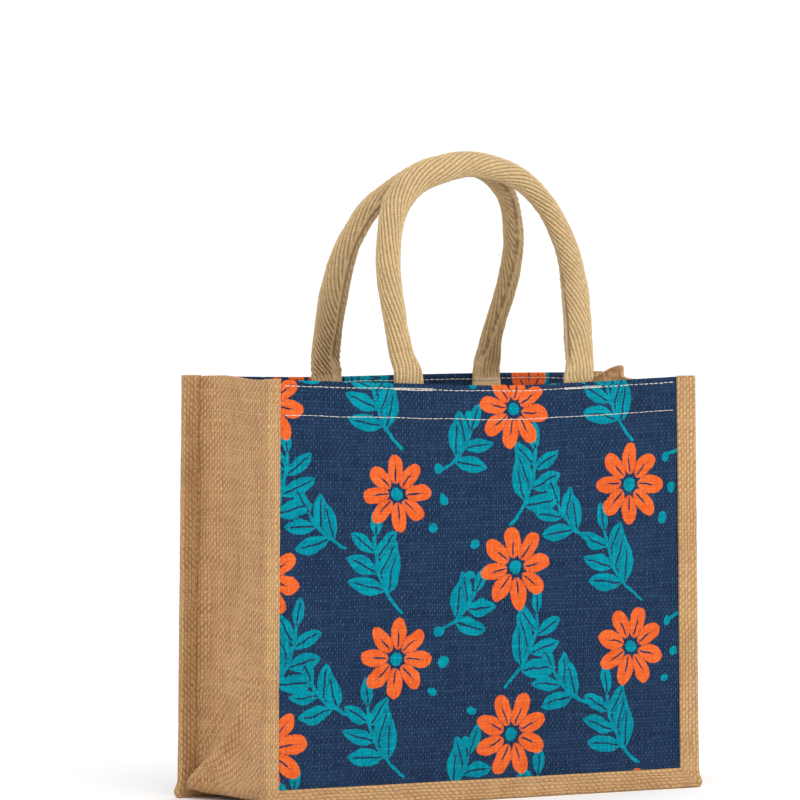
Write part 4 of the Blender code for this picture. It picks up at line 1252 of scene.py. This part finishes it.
def webbing_relief(rope, place, side):
    """How far the webbing stands off the smooth rope, and what its finish has to know."""
    run, from_end, around, girth = rope.run, rope.from_end, rope.around, rope.girth
    rib = rib_height(place)
    free = smooth((from_end - TAB_LENGTH + 0.006) / 0.010)
    to_groove = np.minimum(around, girth - around)
    laced, gape = groove_gape(rope, to_groove, side)
    near_groove = np.exp(-((to_groove / mix(GROOVE_WIDTH, GAPING_WIDTH, laced)) ** 2))
    over = around if side == FRONT else girth - around
    ribbed = smooth((over - WIDE_EDGE) / EDGE_EASE) * smooth((girth - over - NARROW_EDGE) / EDGE_EASE)
    relief = RIB_RELIEF * mix(0.10, 1.0, free) * (rib - 0.6) * ribbed
    relief = relief + EDGE_RELIEF * free * (1 - ribbed)
    open_groove = smooth((from_end - TAB_LENGTH - 0.004) / 0.016)
    relief = relief - mix(TAB_GROOVE_DEPTH, GROOVE_DEPTH, open_groove) * near_groove * gape
    at_base = np.exp(-(((from_end - TAB_LENGTH - 0.006) / 0.007) ** 2))
    relief = relief + PLEAT * at_base * np.sin(2 * math.pi * around / PLEAT_LENGTH)
    relief = relief + 0.00040 * free * hills(around + side, run, 0.011, 70)
    relief = relief + 0.00012 * hills(around, run + side, 0.003, 71)
    tab = 1 - smooth((from_end - TAB_LENGTH + 0.0040) / 0.0010)
    return relief, {
        "groove": near_groove * gape * mix(0.2, 1.0, open_groove),
        "rib": mix(0.75, rib, ribbed),
        "tab": tab + 0 * around,
    }


def make_handle(name, node, route, side, offset, material):
    rope = sleeve(route, side, offset)
    along_rope = np.gradient(rope.loops, axis=0)
    around_rope = np.roll(rope.loops, -1, axis=1) - np.roll(rope.loops, 1, axis=1)
    normal = unit(np.cross(around_rope, along_rope))
    place = rope.around * np.cos(rope.slant) + rope.moved
    relief, values = webbing_relief(rope, place, side)
    loops = rope.loops + normal * relief[..., None]
    flat_around = np.concatenate([place, rope.girth * np.cos(rope.slant) + rope.moved], axis=1)
    flat = np.stack(np.broadcast_arrays(flat_around, rope.run), axis=-1)
    piece = swept_body(name, loops, flat, values)
    stands_for(piece, node, material)
    print(f"{name}: {1000 * float(rope.run[-1, 0]):.0f} mm of rope")
    return piece


# %% [markdown]
# ## Finish of the webbing
# Each rib is a bundle of pale, slightly glossy fibres, and threads cross the valleys between
# them. The valleys are darkened with painted shade, broken into dots where the threads cross.
# The map runs with the ribs, so noise that is fine across and long along it draws the fibres
# out in the right direction.

# %% Webbing finish and both handles
WEBBING = srgb(178, 149, 104), srgb(206, 178, 133)
DULL_FIBRE = srgb(166, 137, 92)
# painted shade in the valleys between the ribs
VALLEY_SHADE = srgb(104, 76, 42)
GROOVE_SHADE = srgb(96, 68, 36)
TAB_TONE = srgb(206, 176, 130)
CROSSING_PITCH = 0.0021  # between the threads that cross a valley
TWIST_PITCH = 0.0013  # between the turns of a thread's twist


def webbing_finish():
    finish, tree, shader = new_finish("webbing_cloth", roughness=0.78, sheen=0.15)
    across, along = cloth_map(tree)
    rib = attribute(tree, "rib")
    strand = noise(tree, across, along, 1500, 300, 2.0, 2.0)
    fleck = noise(tree, across, along, 420, 75, 8.0, 3.0)
    colour = blend_colours(tree, between(tree, strand, 0.32, 0.66), *WEBBING)
    colour = blend_colours(tree, between(tree, fleck, 0.42, 0.70, 0.0, 0.35), colour, DULL_FIBRE)
    number = math_node(tree, "ROUND", product(tree, across, 1 / RIB_PITCH))
    beat = math_node(tree, "MULTIPLY_ADD", along, 1 / CROSSING_PITCH, product(tree, number, 0.37))
    crossing = math_node(tree, "SINE", product(tree, beat, 2 * math.pi))
    dotted = between(tree, crossing, -0.8, 0.8, 0.34, 0.70)
    # painted shade: the valleys between the ribs are darkened, in dots where threads cross them
    valley_shade = product(tree, between(tree, rib, 0.62, 0.10), dotted)
    colour = blend_colours(tree, valley_shade, colour, VALLEY_SHADE)
    in_groove = between(tree, attribute(tree, "groove"), 0.25, 0.95, 0.0, 0.62)
    colour = blend_colours(tree, in_groove, colour, GROOVE_SHADE)
    colour = blend_colours(tree, attribute(tree, "tab"), colour, TAB_TONE)
    tree.links.new(colour, shader.inputs["Base Color"])
    turns = math_node(tree, "SINE", product(tree, along, 2 * math.pi / TWIST_PITCH))
    relief = math_node(tree, "MULTIPLY_ADD", turns, 0.25, strand)
    add_bump(tree, shader, relief, 0.00018, 0.7)
    return finish


webbing = webbing_finish()
handle_front = make_handle(
    "handle_front_rope", "handle_front", FRONT_ROUTE, FRONT, FRONT_HANDLE_OFFSET, webbing
)
handle_back = make_handle(
    "handle_back_rope", "handle_back", BACK_ROUTE, BACK, BACK_HANDLE_OFFSET, webbing
)

# %% [markdown]
# ## Thread
# A lockstitch shows as short lengths of thread, each going down into the cloth at both ends.
# One stitch is a thin tube bent over four places. All the stitches of one thread are one mesh:
# the bag has about seventeen hundred of them, and that many objects would be slow to handle.

# %% One mesh from many short threads
def thread_mesh(name, starts, ends, normals, radius, material, sides=5, arch=(-0.6, 0.75, 0.75, -0.6)):
    """Tubes from start to end; arch is each ring's height over the cloth, in radii."""
    starts, ends, normals = (np.asarray(array, float) for array in (starts, ends, normals))
    radius = np.broadcast_to(np.asarray(radius, float), (len(starts),))
    shares = np.linspace(0, 1, len(arch))
    direction = unit(ends - starts)
    sideways = unit(np.cross(direction, normals))
    rings = []
    for share, lift in zip(shares, arch):
        centre = mix(starts, ends, share) + normals * (radius * lift)[:, None]
        for k in range(sides):
            angle = 2 * math.pi * k / sides
            step = sideways * math.cos(angle) + normals * math.sin(angle)
            rings.append(centre + step * radius[:, None])
    points = np.stack(rings, axis=1)
    count = len(arch) * sides
    first = np.arange(len(starts))[:, None] * count
    faces = []
    for ring in range(len(arch) - 1):
        for k in range(sides):
            a, b = ring * sides + k, ring * sides + (k + 1) % sides
            faces.append(first + np.array([[a, b, b + sides, a + sides]]))
    quads = np.concatenate(faces).tolist()
    caps = (first + np.arange(sides)[::-1][None, :]).tolist()
    caps += (first + (len(arch) - 1) * sides + np.arange(sides)[None, :]).tolist()
    mesh = bpy.data.meshes.new(name)
    mesh.from_pydata(points.reshape(-1, 3).tolist(), [], quads + caps)
    mesh.shade_smooth()
    mesh.materials.append(material)
    piece = bpy.data.objects.new(name, mesh)
    bpy.context.collection.objects.link(piece)
    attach(piece, "root")
    print(f"{name}: {len(starts)} threads")


def thread_finish(name, light, dark):
    finish, tree, shader = new_finish(name, roughness=0.70, sheen=0.10)
    place = tree.nodes.new("ShaderNodeTexCoord")
    speckle = tree.nodes.new("ShaderNodeTexNoise")
    speckle.inputs["Scale"].default_value = 1400.0
    tree.links.new(place.outputs["Object"], speckle.inputs["Vector"])
    share = between(tree, speckle.outputs["Fac"], 0.35, 0.65)
    tree.links.new(blend_colours(tree, share, dark, light), shader.inputs["Base Color"])
    add_bump(tree, shader, speckle.outputs["Fac"], 0.0001)
    return finish


# %% Rows of stitches on the hems
HEM_STITCH = 0.0044
STITCH_SHARE = 0.80  # of each step: the rest is the needle's hole
UPPER_ROW = 0.0040  # below the rim
LOWER_ROW = 0.0245
JITTER = 0.00012  # how far a stitch's ends lie off its line
HemRow = namedtuple("HemRow", "below radius share")
HEM_ROWS = (
    HemRow(below=UPPER_ROW, radius=0.00030, share=0.80),
    HemRow(below=LOWER_ROW, radius=0.00026, share=0.92),
)


class Threads:
    """Collects stitches until their mesh is made."""

    def __init__(self):
        self.starts, self.ends, self.normals, self.radii = [], [], [], []

    def add_row(self, line, normals, pitch, radius, seed, share=STITCH_SHARE):
        """Stitches along a line of points, each pitch metres from the next."""
        runs = lengths_along(line, 0)
        hand = np.random.default_rng(seed)
        for k in range(int(runs[-1] / pitch)):
            ends = pitch * (k + np.array([0.0, share * hand.uniform(0.90, 1.07)]))
            spots = [[np.interp(end, runs, line[:, axis]) for axis in range(3)] for end in ends]
            normal = [np.interp(ends[0], runs, normals[:, axis]) for axis in range(3)]
            spots = np.array(spots) + hand.uniform(-JITTER, JITTER, (2, 3))
            self.starts.append(spots[0])
            self.ends.append(spots[1])
            self.normals.append(normal)
            self.radii.append(radius * hand.uniform(0.88, 1.15))

    def make(self, name, material):
        normals = unit(np.array(self.normals))
        thread_mesh(name, self.starts, self.ends, normals, np.array(self.radii), material)


def add_panel_row(threads, x, below_rim, side, depth, facing, pitch, radius, seed, share=STITCH_SHARE):
    z = np.full(x.shape, BAG_HEIGHT - below_rim) + 0.00035 * hills(x, x, 0.03, seed)
    line = panel_point(x, depth, z, side)
    normals = np.tile([0.0, float(side * facing), 0.0], (len(x), 1))
    threads.add_row(line, normals, pitch, radius, seed, share)


cream_thread = thread_finish("cream_thread", srgb(226, 220, 208), srgb(190, 181, 166))
hem_threads = Threads()
row_end = HALF_WIDTH - 0.001
row_x = np.linspace(-row_end, row_end, 400)
inner_row_x = np.linspace(-row_end + HEM_CLEAR, row_end - HEM_CLEAR, 400)
for side in (FRONT, BACK):
    for k, (below, radius, share) in enumerate(HEM_ROWS):
        add_panel_row(hem_threads, row_x, below, side, 0.0, 1, HEM_STITCH, radius, 10 + k, share)
        add_panel_row(hem_threads, inner_row_x, below, side, HEM, -1, HEM_STITCH, radius, 20 + k, share)

# %% [markdown]
# Under each handle's foot the maker goes to and fro over the upper row, to hold the tab. That
# is a second and a third row, a hair beside the first. Inside, the tab is sewn lower down too.

# %% Stitches that hold the handles
TAB_STITCH = 0.0036
OUTER_HALF, OUTER_RADIUS, OUTER_SHARE = 0.0165, 0.00032, 0.94
INNER_HALF, INNER_RADIUS = 0.0120, 0.00034
for side, route, offset in (
    (FRONT, FRONT_ROUTE, FRONT_HANDLE_OFFSET),
    (BACK, BACK_ROUTE, BACK_HANDLE_OFFSET),
):
    for leg in (LEFT, RIGHT):
        middle = offset + leg * route[0].span
        x = np.linspace(middle - OUTER_HALF, middle + OUTER_HALF, 60)
        for seed, below in enumerate((UPPER_ROW - 0.0005, UPPER_ROW + 0.0004), 30):
            add_panel_row(hem_threads, x, below, side, 0.0, 1, TAB_STITCH, OUTER_RADIUS, seed, OUTER_SHARE)
        tab_face = HEM + GAP + TAB_THICKNESS
        x = np.linspace(middle - INNER_HALF, middle + INNER_HALF, 40)
        for seed, below in enumerate((UPPER_ROW, UPPER_ROW + 0.0008, 0.0200), 40):
            add_panel_row(hem_threads, x, below, side, tab_face, -1, TAB_STITCH, INNER_RADIUS, seed)
hem_threads.make("hem_stitches", cream_thread)

# %% Stitches on the gusset's hems and on the tapes
STRAW_RADIUS, TAPE_RADIUS = 0.00026, 0.00024
SUNK = 0.0002  # the tape's stitches lie in the dent that they pull
straw_thread = thread_finish("straw_thread", srgb(226, 200, 158), srgb(178, 142, 96))
side_threads = Threads()
strip_y = np.linspace(-WALL_Y + 0.003, WALL_Y - 0.003, 120)
for below, seed in ((UPPER_ROW, 50), (LOWER_ROW, 51)):
    for run, facing in ((below, LEFT), (STRIP_LENGTH - below, RIGHT)):
        line = strip_point(np.full(strip_y.shape, run), 0.0, strip_y, 1.0, 0.0, CLOTH / 2)
        normals = np.tile([float(facing), 0.0, 0.0], (len(strip_y), 1))
        side_threads.add_row(line, normals, HEM_STITCH, STRAW_RADIUS, seed + facing)
for side in (FRONT, BACK):
    rows, _ = seam_line()
    plain_rows = [row for row in rows if not row.corner]
    tape_back_face = 2 * CLOTH + 2 * GAP + TAPE
    for depth, facing, seed in ((-GAP - TAPE + SUNK, 1, 60), (tape_back_face - SUNK, -1, 61)):
        out = STITCH_FROM_SEAM + (0.0010 if facing < 0 else 0.0)
        line = np.array([tape_point(row, np.array(out), np.array(depth), side) for row in plain_rows])
        normals = np.tile([0.0, float(side * facing), 0.0], (len(line), 1))
        side_threads.add_row(line, normals, TAPE_STITCH, TAPE_RADIUS, seed + side)
side_threads.make("side_stitches", straw_thread)

# %% [markdown]
# ## Loose fibres
# Jute sheds. Short hairs stand up all over the cloth and the handles, and soften every outline.
# Each is a thin bent tube that starts in the cloth; where it starts and how it leans comes
# from a seeded generator.

# %% Short hairs
FIBRES = 900  # each piece tries its share of them; one that lies too flat or too low is left out
HAIR_SHARES = (
    (gusset_cloth, 0.26), (tape_front, 0.16), (tape_back, 0.12),
    (handle_front, 0.12), (handle_back, 0.10), (panel_front, 0.06), (panel_back, 0.04),
)
HAIR_LENGTH = 0.0010, 0.0030
HAIR_RADIUS = 0.00007
HAIR_ROOT = 0.0003  # how deep in the cloth a hair starts
HAIR_LOWEST = 0.006


def scatter_hairs():
    hand = np.random.default_rng(7)
    starts, ends, normals = [], [], []
    for piece, share in HAIR_SHARES:
        vertices = piece.data.vertices
        for index in hand.integers(0, len(vertices), round(FIBRES * share)):
            vertex = vertices[int(index)]
            normal = np.array(vertex.normal)
            lean = unit(normal * 0.55 + hand.normal(0, 0.6, 3))
            if lean @ normal < 0.15:
                continue
            length = hand.uniform(*HAIR_LENGTH)
            start = np.array(vertex.co) - normal * HAIR_ROOT
            if start[2] < HAIR_LOWEST:
                continue
            starts.append(start)
            ends.append(start + lean * length)
            normals.append(unit(np.cross(lean, hand.normal(0, 1, 3))))
    return starts, ends, normals


hairs = scatter_hairs()
hair_finish = thread_finish("loose_jute", srgb(222, 194, 150), srgb(178, 140, 92))
thread_mesh("loose_fibres", *hairs, HAIR_RADIUS, hair_finish, sides=3, arch=(0.0, 3.5, 4.5, 1.0))

# %% [markdown]
# ## Studio
# The photograph is a shop picture on a white ground. A bright and even sky gives most of the
# light, one large soft light from the front right leaves the side wall a little darker, and a
# small one high on the left brings out the handles' ribs. The camera stands to the left of the
# bag with a long lens, so that the far edges hardly shrink.

# %% Floor, light and camera
PHOTO_SIZE = 800
FOCAL_PIXELS = 4500
CAMERA_TURN = math.radians(30.5)
CAMERA_DISTANCE = 3.26
CAMERA_HEIGHT = 0.322
CAMERA_ASIDE = -0.030
CAMERA_DOWN = math.radians(0.66)
SENSOR = 36.0
FLOOR_REACH = 14.0
FLOOR_TONE = 0.955
SKY = 1.05
LightRow = namedtuple("LightRow", "name place target size power")
LIGHTS = (
    LightRow("key_light", place=(0.55, -2.4, 1.6), target=(0.0, 0.0, 0.20), size=2.6, power=30.0),
    LightRow("rim_light", place=(-0.9, -1.1, 2.3), target=(0.0, 0.0, 0.30), size=1.2, power=8.5),
)


def aim(thing, direction):
    thing.rotation_euler = Vector(direction).to_track_quat("-Z", "Y").to_euler()


def add_floor():
    mesh = bpy.data.meshes.new("floor")
    corners = [(FLOOR_REACH * x, FLOOR_REACH * y, 0) for x, y in ((-1, -1), (1, -1), (1, 1), (-1, 1))]
    mesh.from_pydata(corners, [], [(0, 1, 2, 3)])
    floor = bpy.data.objects.new("floor", mesh)
    bpy.context.collection.objects.link(floor)
    finish, _, shader = new_finish("studio_floor", roughness=0.95)
    shader.inputs["Base Color"].default_value = (FLOOR_TONE, FLOOR_TONE, FLOOR_TONE, 1.0)
    mesh.materials.append(finish)


def add_softbox(row):
    light = bpy.data.lights.new(row.name, "AREA")
    light.shape = "DISK"
    light.size = row.size
    light.energy = row.power
    lamp = bpy.data.objects.new(row.name, light)
    lamp.location = row.place
    aim(lamp, Vector(row.target) - Vector(row.place))
    bpy.context.collection.objects.link(lamp)


def add_sky():
    world = bpy.data.worlds.new("studio")
    world.use_nodes = True
    background = world.node_tree.nodes["Background"]
    background.inputs["Color"].default_value = (1.0, 1.0, 1.0, 1.0)
    background.inputs["Strength"].default_value = SKY
    bpy.context.scene.world = world


def add_camera():
    view = Vector((math.sin(CAMERA_TURN), math.cos(CAMERA_TURN), 0.0))
    right = Vector((math.cos(CAMERA_TURN), -math.sin(CAMERA_TURN), 0.0))
    lens = bpy.data.cameras.new("camera")
    lens.sensor_width = SENSOR
    lens.lens = FOCAL_PIXELS * SENSOR / PHOTO_SIZE
    lens.clip_end = 60.0
    camera = bpy.data.objects.new("camera", lens)
    camera.location = right * CAMERA_ASIDE - view * CAMERA_DISTANCE + Vector((0, 0, CAMERA_HEIGHT))
    aim(camera, view * math.cos(CAMERA_DOWN) - Vector((0, 0, math.sin(CAMERA_DOWN))))
    bpy.context.collection.objects.link(camera)
    bpy.context.scene.camera = camera


add_floor()
for row in LIGHTS:
    add_softbox(row)
add_sky()
bpy.context.scene.view_settings.view_transform = "Standard"
add_camera()
